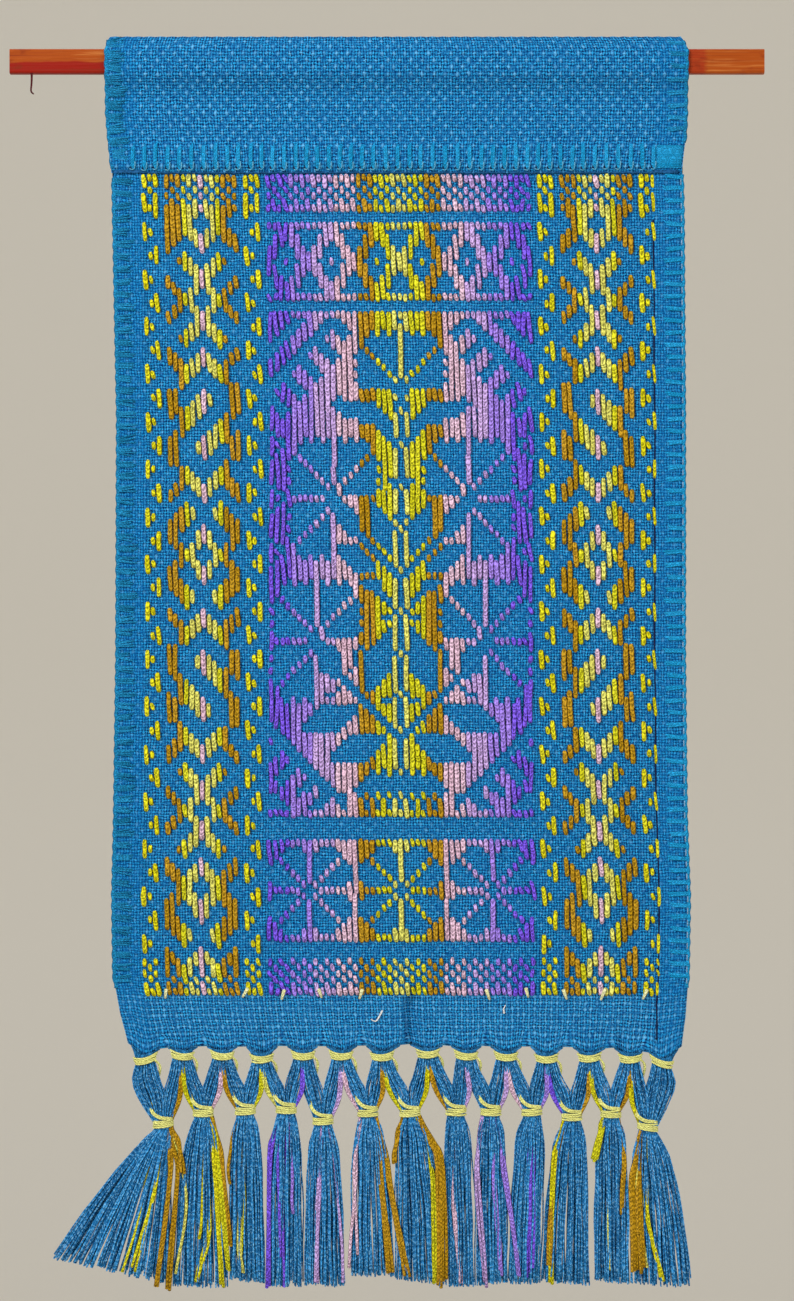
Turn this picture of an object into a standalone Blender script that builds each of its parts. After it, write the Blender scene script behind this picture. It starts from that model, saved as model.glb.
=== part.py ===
# A narrow woven cloth on a wooden rod, with a netted and tasselled fringe.
# Sizes are in millimetres, turned to metres where a vertex is made. +Z is up and the front faces -Y.
# The origin is the middle of the rod.

import math
import random
from collections import namedtuple

import bmesh
import bpy

MM = 0.001
GAP = 0.3  # clearance between two pieces that touch
SEED = 7

# Rod
ROD_LENGTH = 316.6
ROD_HEIGHT = 10.2
ROD_DEPTH = 5.5
ROD_ARRIS = 0.8  # width of the eased long edges

# Cloth
CLOTH_THICKNESS = 1.4
FOLD_TOP = 10.6  # highest point of the heading
FLAP_DROP = 45.4  # lower edge of the heading, below the rod's middle
HEM_WIDTH = 12.8
HEM_RAISE = 0.9  # a turned hem stands this far proud of the single cloth
STITCH_BAND = 10.8  # overcast band along the heading's lower edge
STITCH_RAISE = 0.4
PANEL_TOP = -47.5
PANEL_BOTTOM = -393.0
CENTRE_LEFT = -50.4  # the patterned middle band, between the two patterned borders
CENTRE_RIGHT = 63.6
CENTRE_RAISE = 0.55  # height of the pattern yarns over the ground
BORDER_RAISE = 0.35
RAMP = 1.0  # width of the slope where the relief changes
HANG_Y = 2.6  # depth at which the cloth's middle surface hangs plumb
LAYER_STEP = CLOTH_THICKNESS + 0.4  # heading and cloth lie this far apart, middle to middle

# Fringe
STRIP_HEIGHT = 1.2  # least height of the strip that carries the fringe
NET_Y = 2.0
KNOT_HALF_WIDTH = 3.8
KNOT_HALF_DEPTH = 1.8
KNOT_END_DEPTH = 0.4  # share of the half depth that is left at a knot's two ends
BINDING_HEIGHT = 3.0
BINDING_THICKNESS = 0.7
BINDING_CLEARANCE = 0.35
COLLAR = 0.5  # how far a knot runs on past its binding
STRAND_GAP = 0.15
TASSEL_Y = 1.4
TASSEL_DEEP = 3
TASSEL_LAYER = 2.5  # depth between two layers of strands at the tassel's foot
STRAND_HALF_DEPTH = 0.9
STRAND_MOST_HALF_WIDTH = 1.7
CELL_KEEP = 0.78  # how much of its cell a strand's root takes

# Side edges of the cloth, which runs wider and narrower as it goes down
Edge = namedtuple("Edge", "z left right")
FLAP_EDGES = (
    Edge(-45.4, -115.9, 123.9),
    Edge(-38.0, -116.4, 124.7),
    Edge(-31.0, -117.2, 125.6),
    Edge(-21.0, -118.0, 126.0),
    Edge(4.0, -118.0, 126.0),
    Edge(8.0, -117.4, 124.9),
    Edge(10.0, -116.3, 123.2),
)
CLOTH_EDGES = (
    Edge(-413.0, -107.4, 123.3),
    Edge(-400.8, -112.6, 125.6),
    Edge(-384.0, -115.1, 126.8),
    Edge(-350.5, -115.5, 127.3),
    Edge(-316.8, -114.7, 126.0),
    Edge(-249.6, -113.8, 125.2),
    Edge(-149.0, -113.4, 125.2),
    Edge(-64.7, -115.1, 124.7),
    Edge(-45.4, -115.5, 124.3),
    Edge(4.0, -117.2, 125.4),
    Edge(8.0, -117.4, 124.9),
    Edge(10.0, -116.3, 123.2),
)

# Section of the heading's fold, from its lower front edge up, over the rod and down behind it
Fold = namedtuple("Fold", "y z")
HEADING_SECTION = (
    Fold(HANG_Y - LAYER_STEP, -FLAP_DROP),
    Fold(HANG_Y - LAYER_STEP, 0.5 - FLAP_DROP),
    Fold(HANG_Y - LAYER_STEP, STITCH_BAND - FLAP_DROP),
    Fold(HANG_Y - LAYER_STEP, STITCH_BAND + RAMP - FLAP_DROP),
    Fold(0.7, -20.0),
    Fold(0.2, -13.0),
    Fold(-2.0, -8.0),
    Fold(-3.6, -5.2),
    Fold(-3.85, 0.0),
    Fold(-3.6, 5.0),
    Fold(-1.9, 7.2),
    Fold(-0.9, 8.9),
    Fold(-0.6, 9.6),
    Fold(0.0, FOLD_TOP - CLOTH_THICKNESS / 2),
    Fold(0.6, 9.6),
    Fold(0.9, 8.9),
    Fold(1.9, 7.2),
    Fold(3.6, 5.0),
    Fold(3.85, 0.0),
    Fold(3.7, -5.2),
    Fold(3.1, -12.0),
    Fold(HANG_Y, -24.0),
    Fold(HANG_Y, 0.5 - FLAP_DROP),
)

# Plain stripes across the middle band, where no pattern yarn floats
Stripe = namedtuple("Stripe", "top bottom")
STRIPES = (
    Stripe(-63.0, -67.8),
    Stripe(-101.2, -105.2),
    Stripe(-318.2, -325.2),
    Stripe(-368.8, -375.8),
)
PLAIN_ROWS = (-84.0, -140.0, -185.0, -230.0, -280.0, -347.0, -401.0, -407.5)
PLAIN_COLUMNS = (-82.0, -66.0, -34.0, -15.0, 24.0, 42.0, 80.0)

# Soft vertical troughs that the fringe draws into the cloth's foot
Pucker = namedtuple("Pucker", "x half_width depth")
PUCKERS = (
    Pucker(-52.5, 4.0, 0.7),
    Pucker(8.4, 5.0, 1.1),
    Pucker(102.0, 5.0, 0.8),
)
PUCKER_TOP = -384.0

# Foot of the cloth: its height at a few places across
Foot = namedtuple("Foot", "x z")
FOOT = (
    Foot(-107.4, -411.5),
    Foot(-101.0, -413.8),
    Foot(-84.0, -413.0),
    Foot(0.0, -412.6),
    Foot(60.0, -412.8),
    Foot(100.0, -413.8),
    Foot(114.0, -415.2),
    Foot(123.3, -412.8),
)

# Bound bundles, left to right. Tilt is the slope of the binding in degrees, positive where its right end is higher
Knot = namedtuple("Knot", "x z tilt")
UPPER_KNOTS = (
    Knot(-101.6, -419.2, 14),
    Knot(-86.1, -417.5, -4),
    Knot(-69.3, -417.5, -3),
    Knot(-52.7, -418.8, 2),
    Knot(-35.3, -417.5, 0),
    Knot(-19.3, -417.5, -2),
    Knot(-2.1, -417.9, 1),
    Knot(17.2, -416.7, 3),
    Knot(33.2, -417.5, -4),
    Knot(50.0, -417.9, -2),
    Knot(67.0, -418.8, 0),
    Knot(85.1, -418.4, 2),
    Knot(102.3, -418.8, 0),
    Knot(115.5, -420.5, -20),
)
LOWER_KNOTS = (
    Knot(-94.1, -446.1, 7),
    Knot(-77.3, -441.5, 4),
    Knot(-59.6, -440.7, 3),
    Knot(-42.4, -440.2, -2),
    Knot(-26.9, -444.9, 3),
    Knot(-8.0, -441.5, 5),
    Knot(9.7, -441.5, 4),
    Knot(29.0, -441.1, 2),
    Knot(43.7, -441.1, 0),
    Knot(60.9, -441.1, 3),
    Knot(77.7, -443.2, -2),
    Knot(94.1, -441.9, 0),
    Knot(109.6, -447.4, -6),
)

# Reach of each tassel's foot, left to right, and how many strands stand across it
Tassel = namedtuple("Tassel", "left right z_left z_right across")
TASSELS = (
    Tassel(-137.0, -91.0, -501.0, -513.0, 8),
    Tassel(-90.3, -66.8, -513.0, -514.0, 6),
    Tassel(-66.4, -51.2, -511.0, -512.0, 5),
    Tassel(-50.8, -35.2, -514.0, -514.0, 5),
    Tassel(-34.9, -17.4, -513.0, -513.0, 5),
    Tassel(-15.1, 2.9, -510.0, -509.0, 5),
    Tassel(3.4, 25.3, -510.0, -514.0, 6),
    Tassel(25.7, 37.2, -513.0, -512.5, 4),
    Tassel(37.6, 50.6, -513.0, -512.0, 4),
    Tassel(51.0, 64.5, -512.5, -512.0, 5),
    Tassel(64.9, 85.3, -512.5, -513.0, 6),
    Tassel(87.4, 101.8, -511.0, -512.5, 5),
    Tassel(102.2, 128.3, -512.5, -514.5, 6),
)
LENGTH_JITTER = 1.3

# A tassel's head, from where it leaves the binding to where its strands part
HeadRing = namedtuple("HeadRing", "drop half_width half_depth y")
HEAD_RINGS = (
    HeadRing(GAP / 2, 3.3, 1.6, NET_Y),
    HeadRing(2.0, 3.3, 1.6, NET_Y),
    HeadRing(4.6, 4.4, 2.6, 1.7),
    HeadRing(7.2, 4.9, 3.0, TASSEL_Y),
)

# A fringe leg widens at these shares of its way down. The two outer legs are whole bundles
Swell = namedtuple("Swell", "at inner first last")
LEG_SWELLS = (Swell(0.3, 2.9, 5.3, 4.0), Swell(0.7, 2.4, 3.6, 3.0))
LEG_HALF_DEPTH = 1.9
INNER_LEG_STRANDS = 2
OUTER_LEG_STRANDS = 3


def mix(a, b, share):
    return a + (b - a) * share


def read_table(rows, key, column, value):
    """The column's value at this key, on straight lines between the table's rows, which rise in the key."""
    if value <= getattr(rows[0], key):
        return getattr(rows[0], column)
    for low, high in zip(rows, rows[1:]):
        if value <= getattr(high, key):
            share = (value - getattr(low, key)) / (getattr(high, key) - getattr(low, key))
            return mix(getattr(low, column), getattr(high, column), share)
    return getattr(rows[-1], column)


def new_vertex(bm, x, y, z):
    return bm.verts.new((x * MM, y * MM, z * MM))


def loft(bm, loops):
    """Quads between closed loops of equal length, one after the other."""
    for upper, lower in zip(loops, loops[1:]):
        for k in range(len(upper)):
            n = (k + 1) % len(upper)
            bm.faces.new((upper[k], upper[n], lower[n], lower[k]))


def finish_object(bm, name, material, sharp_degrees=50):
    bmesh.ops.recalc_face_normals(bm, faces=bm.faces)
    mesh = bpy.data.meshes.new(name)
    bm.to_mesh(mesh)
    bm.free()
    mesh.shade_smooth()
    mesh.set_sharp_from_angle(angle=math.radians(sharp_degrees))
    mesh.materials.append(material)
    obj = bpy.data.objects.new(name, mesh)
    bpy.context.scene.collection.objects.link(obj)
    return obj


def make_material(name, color, roughness):
    material = bpy.data.materials.new(name)
    material.use_nodes = True
    shader = material.node_tree.nodes["Principled BSDF"]
    shader.inputs["Base Color"].default_value = (*color, 1.0)
    shader.inputs["Roughness"].default_value = roughness
    shader.inputs["Metallic"].default_value = 0.0
    return material


# Rod


def make_rod(material):
    bm = bmesh.new()
    bmesh.ops.create_cube(bm, size=1.0)
    bmesh.ops.scale(bm, vec=(ROD_LENGTH * MM, ROD_DEPTH * MM, ROD_HEIGHT * MM), verts=bm.verts)
    rod = finish_object(bm, "rod", material)
    eased = rod.modifiers.new("eased edges", "BEVEL")
    eased.width = ROD_ARRIS * MM
    eased.segments = 2
    eased.limit_method = "WEIGHT"
    weights = rod.data.attributes.new("bevel_weight_edge", "FLOAT", "EDGE")
    for edge in rod.data.edges:
        ends = [rod.data.vertices[index].co for index in edge.vertices]
        runs_along = abs(ends[0].x - ends[1].x) > ROD_LENGTH * MM / 2
        weights.data[edge.index].value = 1.0 if runs_along else 0.0


# Cloth


def hang_wave(x, z):
    """How far the hanging cloth stands out of its plane: slow waves, and the troughs at its foot."""
    below_rod = min(1.0, max(0.0, (-z - 12.0) / 30.0))
    waves = 0.35 * math.sin(x / 17.0 + z / 80.0) + 0.25 * math.sin(z / 34.0 - x / 60.0)
    near_foot = min(1.0, max(0.0, (PUCKER_TOP - z) / 20.0))
    troughs = sum(p.depth * max(0.0, 1.0 - abs(x - p.x) / p.half_width) for p in PUCKERS)
    return below_rod * waves + near_foot * troughs


def bump(value, low, high):
    """1 between low and high, 0 a ramp's width outside, and straight slopes between."""
    return min(1.0, max(0.0, (value - low) / RAMP + 1.0), max(0.0, (high - value) / RAMP + 1.0))


def cloth_relief(x, z, left, right):
    """Height of the turned hems and of the pattern yarns over the plain ground."""
    if z > PANEL_TOP + RAMP:
        return 0.0
    hem = max(bump(x, left + RAMP, left + HEM_WIDTH - RAMP), bump(x, right - HEM_WIDTH + RAMP, right - RAMP))
    inside = bump(x, left + HEM_WIDTH + RAMP, right - HEM_WIDTH - RAMP)
    inside = min(inside, bump(z, PANEL_BOTTOM + RAMP, PANEL_TOP - RAMP))
    pattern = BORDER_RAISE * inside
    if CENTRE_LEFT <= x <= CENTRE_RIGHT:
        plain = max(bump(z, s.bottom + RAMP, s.top - RAMP) for s in STRIPES)
        pattern = CENTRE_RAISE * inside * (1.0 - plain)
    return max(HEM_RAISE * hem, pattern)


def cloth_columns():
    """Places across the cloth that its surface needs, measured on its evenly hanging middle part."""
    left = read_table(CLOTH_EDGES, "z", "left", -200.0)
    right = read_table(CLOTH_EDGES, "z", "right", -200.0)
    hem = (0.0, RAMP, HEM_WIDTH - RAMP, HEM_WIDTH, HEM_WIDTH + RAMP)
    needed = [left + step for step in hem] + [right - step for step in hem]
    needed += [CENTRE_LEFT - RAMP, CENTRE_LEFT, CENTRE_RIGHT, CENTRE_RIGHT + RAMP]
    needed += [p.x + side * p.half_width for p in PUCKERS for side in (-1, 0, 1)]
    return left, right, sorted(needed + list(PLAIN_COLUMNS))


def cloth_rows():
    rows = [PANEL_TOP + RAMP, PANEL_TOP - RAMP, PANEL_BOTTOM + RAMP, PANEL_BOTTOM - RAMP / 2]
    for stripe in STRIPES:
        rows += [stripe.top, (stripe.top + stripe.bottom) / 2, stripe.bottom]
    return sorted(rows + list(PLAIN_ROWS), reverse=True)


def make_cloth(material):
    """One thick sheet, from the heading's lower edge over the rod and down to the fringe."""
    path = list(HEADING_SECTION) + [Fold(HANG_Y, z) for z in cloth_rows()]
    path.append(Fold(HANG_Y, FOOT[0].z))
    turn = max(range(len(path)), key=lambda i: path[i].z)
    nominal_left, nominal_right, columns = cloth_columns()
    bm = bmesh.new()
    outer, inner = [], []
    for i, here in enumerate(path):
        before, after = path[max(i - 1, 0)], path[min(i + 1, len(path) - 1)]
        run = math.hypot(after.y - before.y, after.z - before.z)
        out_y, out_z = (before.z - after.z) / run, (after.y - before.y) / run
        edges = FLAP_EDGES if i < turn else CLOTH_EDGES
        left = read_table(edges, "z", "left", here.z)
        right = read_table(edges, "z", "right", here.z)
        outer_row, inner_row = [], []
        for nominal in columns:
            share = (nominal - nominal_left) / (nominal_right - nominal_left)
            x = nominal + mix(left - nominal_left, right - nominal_right, share)
            z = read_table(FOOT, "x", "z", x) if i == len(path) - 1 else here.z
            y = here.y + hang_wave(x, z)
            out_step = in_step = CLOTH_THICKNESS / 2
            if i < turn:
                out_step += STITCH_RAISE if 1 <= i <= 2 else 0.0
            else:
                in_step += cloth_relief(x, z, left, right)
            outer_row.append(new_vertex(bm, x, y + out_y * out_step, z + out_z * out_step))
            inner_row.append(new_vertex(bm, x, y - out_y * in_step, z - out_z * in_step))
        outer.append(outer_row)
        inner.append(inner_row)
    for sheet in (outer, inner):
        for upper, lower in zip(sheet, sheet[1:]):
            for k in range(len(upper) - 1):
                bm.faces.new((upper[k], upper[k + 1], lower[k + 1], lower[k]))
    for row_pair in ((outer[0], inner[0]), (outer[-1], inner[-1])):
        join_edges(bm, *row_pair)
    for end in (0, -1):
        join_edges(bm, [row[end] for row in outer], [row[end] for row in inner])
    finish_object(bm, "cloth", material)


def join_edges(bm, first, second):
    for k in range(len(first) - 1):
        bm.faces.new((first[k], first[k + 1], second[k + 1], second[k]))


# Fringe net


def shear(knot, x):
    return (x - knot.x) * math.tan(math.radians(knot.tilt))


def knot_depth(share, half_depth):
    """Half the depth of a bundle at a share of its half width from its middle."""
    return half_depth * (KNOT_END_DEPTH + (1.0 - KNOT_END_DEPTH) * math.sqrt(max(0.0, 1.0 - share * share)))


def knot_shares(cells):
    return [2.0 * k / cells - 1.0 for k in range(cells + 1)]


def knot_section(bm, knot, cells, dz, grow=0.0):
    """Front and back rows of vertices, left to right, across a bound bundle."""
    front, back = [], []
    for share in knot_shares(cells):
        x = knot.x + share * (KNOT_HALF_WIDTH + grow)
        half = knot_depth(share, KNOT_HALF_DEPTH) + grow
        z = knot.z + dz + shear(knot, x)
        front.append(new_vertex(bm, x, NET_Y - half, z))
        back.append(new_vertex(bm, x, NET_Y + half, z))
    return front, back


def ring_of(front, back):
    return front + back[::-1]


def strand_roots(bm, front, back):
    """Each cell of a knot's end face, drawn in to the foot of a strand. Returns the strands' first loops."""
    roots = []
    for k in range(len(front) - 1):
        corners = (front[k], front[k + 1], back[k + 1], back[k])
        middle = sum((corner.co for corner in corners), corners[0].co * 0) / 4
        root = [bm.verts.new(middle + (corner.co - middle) * CELL_KEEP) for corner in corners]
        for n in range(4):
            bm.faces.new((corners[n], corners[(n + 1) % 4], root[(n + 1) % 4], root[n]))
        roots.append(root)
    return roots


def quad_loop(bm, x, y, z, half_width, half_depth, slope=0.0):
    """A level four-cornered section: front left, front right, back right, back left."""
    signs = ((-1, -1), (1, -1), (1, 1), (-1, 1))
    return [new_vertex(bm, x + a * half_width, y + b * half_depth, z + a * half_width * slope) for a, b in signs]


def add_leg(bm, start_roots, end_roots, half_widths):
    """The strands of one leg, side by side from an upper bundle to a lower one."""
    count = len(start_roots)

    def middle(roots):
        points = [vertex.co / MM for root in roots for vertex in root]
        return sum(p.x for p in points) / len(points), sum(p.z for p in points) / len(points)

    start_x, start_z = middle(start_roots)
    end_x, end_z = middle(end_roots)
    for k in range(count):
        loops = [start_roots[k]]
        for swell, half_width in zip(LEG_SWELLS, half_widths):
            pitch = 2 * half_width / count
            x = mix(start_x, end_x, swell.at) + (k - (count - 1) / 2) * pitch
            z = mix(start_z, end_z, swell.at)
            loops.append(quad_loop(bm, x, NET_Y, z, pitch / 2 - STRAND_GAP, LEG_HALF_DEPTH))
        loops.append(end_roots[k])
        loft(bm, loops)


def strip_stations(cells):
    """The strip's places across, each with the foot of the strip there and the number of its bundle, if any."""
    stations = []
    last = len(UPPER_KNOTS) - 1
    over_binding = BINDING_HEIGHT / 2 + BINDING_CLEARANCE
    for i, knot in enumerate(UPPER_KNOTS):
        for share in knot_shares(cells[i]):
            x = knot.x + share * KNOT_HALF_WIDTH
            stations.append((x, knot.z + over_binding + shear(knot, x), i))
        if i < last:
            x = (knot.x + UPPER_KNOTS[i + 1].x) / 2
            stations.append((x, read_table(FOOT, "x", "z", x) - GAP - STRIP_HEIGHT, None))
    first, end = FOOT[0], FOOT[-1]
    stations.insert(0, (first.x + 1.0, first.z - 4.2, None))
    stations.append((end.x - 1.5, end.z - 4.6, None))
    return stations


def make_fringe_net(material):
    bm = bmesh.new()
    count = len(UPPER_KNOTS)
    outer = (0, count - 1)
    upper_cells = [OUTER_LEG_STRANDS if i in outer else 2 * INNER_LEG_STRANDS for i in range(count)]
    stations = strip_stations(upper_cells)
    rows = {"front top": [], "back top": [], "front foot": [], "back foot": []}
    for x, z_foot, _ in stations:
        z_top = read_table(FOOT, "x", "z", x) - GAP
        y = HANG_Y + hang_wave(x, z_top)
        half = CLOTH_THICKNESS / 2
        rows["front top"].append(new_vertex(bm, x, y - half, z_top))
        rows["back top"].append(new_vertex(bm, x, y + half, z_top))
        rows["front foot"].append(new_vertex(bm, x, y - half, z_foot))
        rows["back foot"].append(new_vertex(bm, x, y + half, z_foot))
    join_edges(bm, rows["front top"], rows["front foot"])
    join_edges(bm, rows["back top"], rows["back foot"])
    join_edges(bm, rows["front top"], rows["back top"])
    for k in range(len(stations) - 1):
        if stations[k][2] is None or stations[k][2] != stations[k + 1][2]:
            join_edges(bm, rows["front foot"][k : k + 2], rows["back foot"][k : k + 2])
    for end in (0, -1):
        bm.faces.new([rows[name][end] for name in ("front top", "front foot", "back foot", "back top")])

    upper_roots = []
    half_binding = BINDING_HEIGHT / 2
    for i, knot in enumerate(UPPER_KNOTS):
        places = [k for k, station in enumerate(stations) if station[2] == i]
        first = [rows["front foot"][k] for k in places], [rows["back foot"][k] for k in places]
        sections = [first]
        sections += [knot_section(bm, knot, upper_cells[i], dz) for dz in (half_binding, -half_binding - COLLAR)]
        loft(bm, [ring_of(*section) for section in sections])
        upper_roots.append(strand_roots(bm, *sections[-1]))

    for j, knot in enumerate(LOWER_KNOTS):
        from_left = upper_roots[j] if j == 0 else upper_roots[j][INNER_LEG_STRANDS:]
        from_right = upper_roots[j + 1] if j + 1 == count - 1 else upper_roots[j + 1][:INNER_LEG_STRANDS]
        cells = len(from_left) + len(from_right)
        top = knot_section(bm, knot, cells, half_binding + COLLAR)
        foot = knot_section(bm, knot, cells, GAP / 2)
        loft(bm, [ring_of(*top), ring_of(*foot)])
        join_edges(bm, *foot)
        roots = strand_roots(bm, *top)
        left_widths = [swell.first if j == 0 else swell.inner for swell in LEG_SWELLS]
        right_widths = [swell.last if j + 1 == count - 1 else swell.inner for swell in LEG_SWELLS]
        add_leg(bm, from_left, roots[: len(from_left)], left_widths)
        add_leg(bm, from_right, roots[len(from_left) :], right_widths)
    finish_object(bm, "fringe_net", material)


# Bindings


def make_binding(name, knot, material):
    """The wound thread as one band round a bundle, clear of it all round."""
    bm = bmesh.new()
    cells = 2 * INNER_LEG_STRANDS
    half = BINDING_HEIGHT / 2
    inside, outside = BINDING_CLEARANCE, BINDING_CLEARANCE + BINDING_THICKNESS
    corners = ((inside, half), (outside, half * 0.7), (outside, -half * 0.7), (inside, -half))
    loops = [ring_of(*knot_section(bm, knot, cells, dz, grow)) for grow, dz in corners]
    loft(bm, loops + [loops[0]])
    finish_object(bm, name, material)


# Tassels


def disc_point(u, v):
    """A point of the square from -1 to 1 moved into the round disc."""
    return u * math.sqrt(1.0 - v * v / 2), v * math.sqrt(1.0 - u * u / 2)


def head_grid(bm, knot, ring, across):
    grid = []
    for n in range(TASSEL_DEEP + 1):
        row = []
        for k in range(across + 1):
            u, v = disc_point(2.0 * k / across - 1.0, 2.0 * n / TASSEL_DEEP - 1.0)
            x = knot.x + u * ring.half_width
            row.append(new_vertex(bm, x, ring.y + v * ring.half_depth, knot.z - ring.drop + shear(knot, x)))
        grid.append(row)
    return grid


def head_loop(bm, knot, ring, across):
    """The rim alone of a head's section, in the order of grid_rim."""
    grid = head_grid(bm, knot, ring, across)
    rim = grid_rim(grid)
    for row in grid:
        for vertex in row:
            if vertex not in rim:
                bm.verts.remove(vertex)
    return rim


def grid_rim(grid):
    right = [row[-1] for row in grid[1:-1]]
    left = [row[0] for row in grid[1:-1]]
    return grid[0] + right + grid[-1][::-1] + left[::-1]


def make_tassel(name, knot, tassel, material, rng):
    """A head whose foot parts into strands, each going its own way down."""
    bm = bmesh.new()
    loops = [head_loop(bm, knot, ring, tassel.across) for ring in HEAD_RINGS[:-1]]
    bm.faces.new(loops[0])
    foot = head_grid(bm, knot, HEAD_RINGS[-1], tassel.across)
    loft(bm, loops + [grid_rim(foot)])
    pitch = (tassel.right - tassel.left) / tassel.across
    half_width = min(STRAND_MOST_HALF_WIDTH, pitch / 2 - 2 * STRAND_GAP)
    for n in range(TASSEL_DEEP):
        for k, root in enumerate(strand_roots(bm, foot[n], foot[n + 1])):
            share = (k + 0.5) / tassel.across
            end_x = mix(tassel.left, tassel.right, share)
            end_y = TASSEL_Y + (n - (TASSEL_DEEP - 1) / 2) * TASSEL_LAYER
            end_z = mix(tassel.z_left, tassel.z_right, share) + rng.uniform(-1, 1) * LENGTH_JITTER
            start = sum((vertex.co for vertex in root), root[0].co * 0) / len(root) / MM
            bend = quad_loop(
                bm,
                mix(start.x, end_x, 0.5),
                mix(start.y, end_y, 0.8),
                mix(start.z, end_z, 0.35),
                mix(0.7, half_width, 0.6),
                STRAND_HALF_DEPTH,
            )
            end = quad_loop(bm, end_x, end_y, end_z, half_width, STRAND_HALF_DEPTH)
            loft(bm, [root, bend, end])
            bm.faces.new(end)
    finish_object(bm, name, material)


def main():
    for obj in list(bpy.data.objects):
        bpy.data.objects.remove(obj, do_unlink=True)
    rng = random.Random(SEED)
    wood = make_material("stained wood", (0.52, 0.11, 0.025), 0.5)
    blue_cloth = make_material("blue cloth", (0.02, 0.17, 0.34), 0.85)
    blue_yarn = make_material("blue yarn", (0.03, 0.20, 0.36), 0.75)
    yellow_thread = make_material("pale yellow thread", (0.80, 0.80, 0.22), 0.6)
    make_rod(wood)
    make_cloth(blue_cloth)
    make_fringe_net(blue_yarn)
    for i, knot in enumerate(UPPER_KNOTS, start=1):
        make_binding(f"binding_upper_{i:02d}", knot, yellow_thread)
    for i, (knot, tassel) in enumerate(zip(LOWER_KNOTS, TASSELS), start=1):
        make_binding(f"binding_lower_{i:02d}", knot, yellow_thread)
        make_tassel(f"tassel_{i:02d}", knot, tassel, blue_yarn, rng)


main()
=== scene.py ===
import math
import random

import bpy
import numpy as np
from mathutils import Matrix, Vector


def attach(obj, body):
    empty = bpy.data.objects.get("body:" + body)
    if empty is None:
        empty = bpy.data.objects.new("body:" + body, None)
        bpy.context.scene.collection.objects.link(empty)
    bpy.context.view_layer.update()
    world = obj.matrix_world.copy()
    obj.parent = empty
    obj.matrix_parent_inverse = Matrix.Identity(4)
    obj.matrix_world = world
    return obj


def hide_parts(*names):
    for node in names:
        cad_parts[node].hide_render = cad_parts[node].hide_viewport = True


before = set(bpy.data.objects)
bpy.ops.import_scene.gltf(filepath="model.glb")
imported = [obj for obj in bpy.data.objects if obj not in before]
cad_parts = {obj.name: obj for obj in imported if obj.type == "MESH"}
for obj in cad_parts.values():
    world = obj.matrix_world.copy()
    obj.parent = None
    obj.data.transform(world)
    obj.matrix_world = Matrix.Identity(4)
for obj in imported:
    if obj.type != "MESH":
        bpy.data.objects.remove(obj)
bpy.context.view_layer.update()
mm = 0.001
print("frame loaded,", len(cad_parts), "solids")


# Colours, as seen on a screen, turned to the linear values that shaders take
def paint(red, green, blue):
    return tuple((value / 255) ** 2.2 for value in (red, green, blue)) + (1.0,)


yarnColors = {
    "bright": paint(246, 234, 0),
    "green": paint(232, 228, 22),
    "light": paint(244, 238, 112),
    "mustard": paint(202, 154, 0),
    "pink": paint(250, 202, 226),
    "lilac": paint(214, 178, 255),
    "softViolet": paint(170, 136, 255),
    "violet": paint(130, 92, 255),
}


# Mesh helpers


def smoothMesh(name, points, faces, material):
    mesh = bpy.data.meshes.new(name)
    mesh.from_pydata([tuple(point) for point in np.asarray(points, float) * mm], [], faces)
    mesh.update()
    mesh.shade_smooth()
    mesh.materials.append(material)
    piece = bpy.data.objects.new(name, mesh)
    bpy.context.scene.collection.objects.link(piece)
    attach(piece, "root")
    return piece


def addAttribute(piece, name, values):
    attribute = piece.data.attributes.new(name, "FLOAT_VECTOR", "POINT")
    attribute.data.foreach_set("vector", np.asarray(values, np.float32).ravel())


def newPile():
    return {"points": [], "faces": [], "place": [], "count": 0}


def layYarn(pile, path, halfWide, halfDeep, sides=6, back=(0.0, 1.0, 0.0), tone=0.5, taper=0.0):
    # one closed yarn along path; back is the side where its seam lies, tone is its own shade
    path, back = np.asarray(path, float), np.asarray(back, float)
    count = len(path)
    tangent = np.gradient(path, axis=0)
    tangent /= np.linalg.norm(tangent, axis=1)[:, None] + 1e-12
    deep = back - tangent * (tangent @ back)[:, None]
    deep /= np.linalg.norm(deep, axis=1)[:, None] + 1e-12
    wide = np.cross(deep, tangent)
    turn = (np.arange(sides) + 0.5) / sides
    angle = (turn + 0.25) * 2 * math.pi
    halfWide = np.broadcast_to(halfWide, count)[:, None]
    halfDeep = np.broadcast_to(halfDeep, count)[:, None]
    ring = wide[:, None, :] * (halfWide * np.cos(angle))[:, :, None]
    ring = ring + deep[:, None, :] * (halfDeep * np.sin(angle))[:, :, None]
    along = np.concatenate([[0.0], np.cumsum(np.linalg.norm(np.diff(path, axis=0), axis=1))])
    place = np.zeros((count, sides, 3))
    place[:, :, 0] = along[:, None]
    place[:, :, 1] = turn[None, :]
    place[:, :, 2] = tone
    start = pile["count"]
    first, last = start + count * sides, start + count * sides + 1
    pile["points"].append((path[:, None, :] + ring).reshape(-1, 3))
    pile["points"].append([path[0] - tangent[0] * taper, path[-1] + tangent[-1] * taper])
    pile["place"].append(place.reshape(-1, 3))
    pile["place"].append([[0.0, 0.5, tone], [along[-1], 0.5, tone]])
    for i in range(count - 1):
        row, below = start + i * sides, start + (i + 1) * sides
        for k in range(sides):
            n = (k + 1) % sides
            pile["faces"].append((row + k, row + n, below + n, below + k))
    end = start + (count - 1) * sides
    for k in range(sides):
        n = (k + 1) % sides
        pile["faces"].append((first, start + n, start + k))
        pile["faces"].append((last, end + k, end + n))
    pile["count"] += count * sides + 2


def finishPile(pile, name, material):
    piece = smoothMesh(name, np.concatenate(pile["points"]), pile["faces"], material)
    addAttribute(piece, "yarnPlace", np.concatenate(pile["place"]))
    return piece


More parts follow.
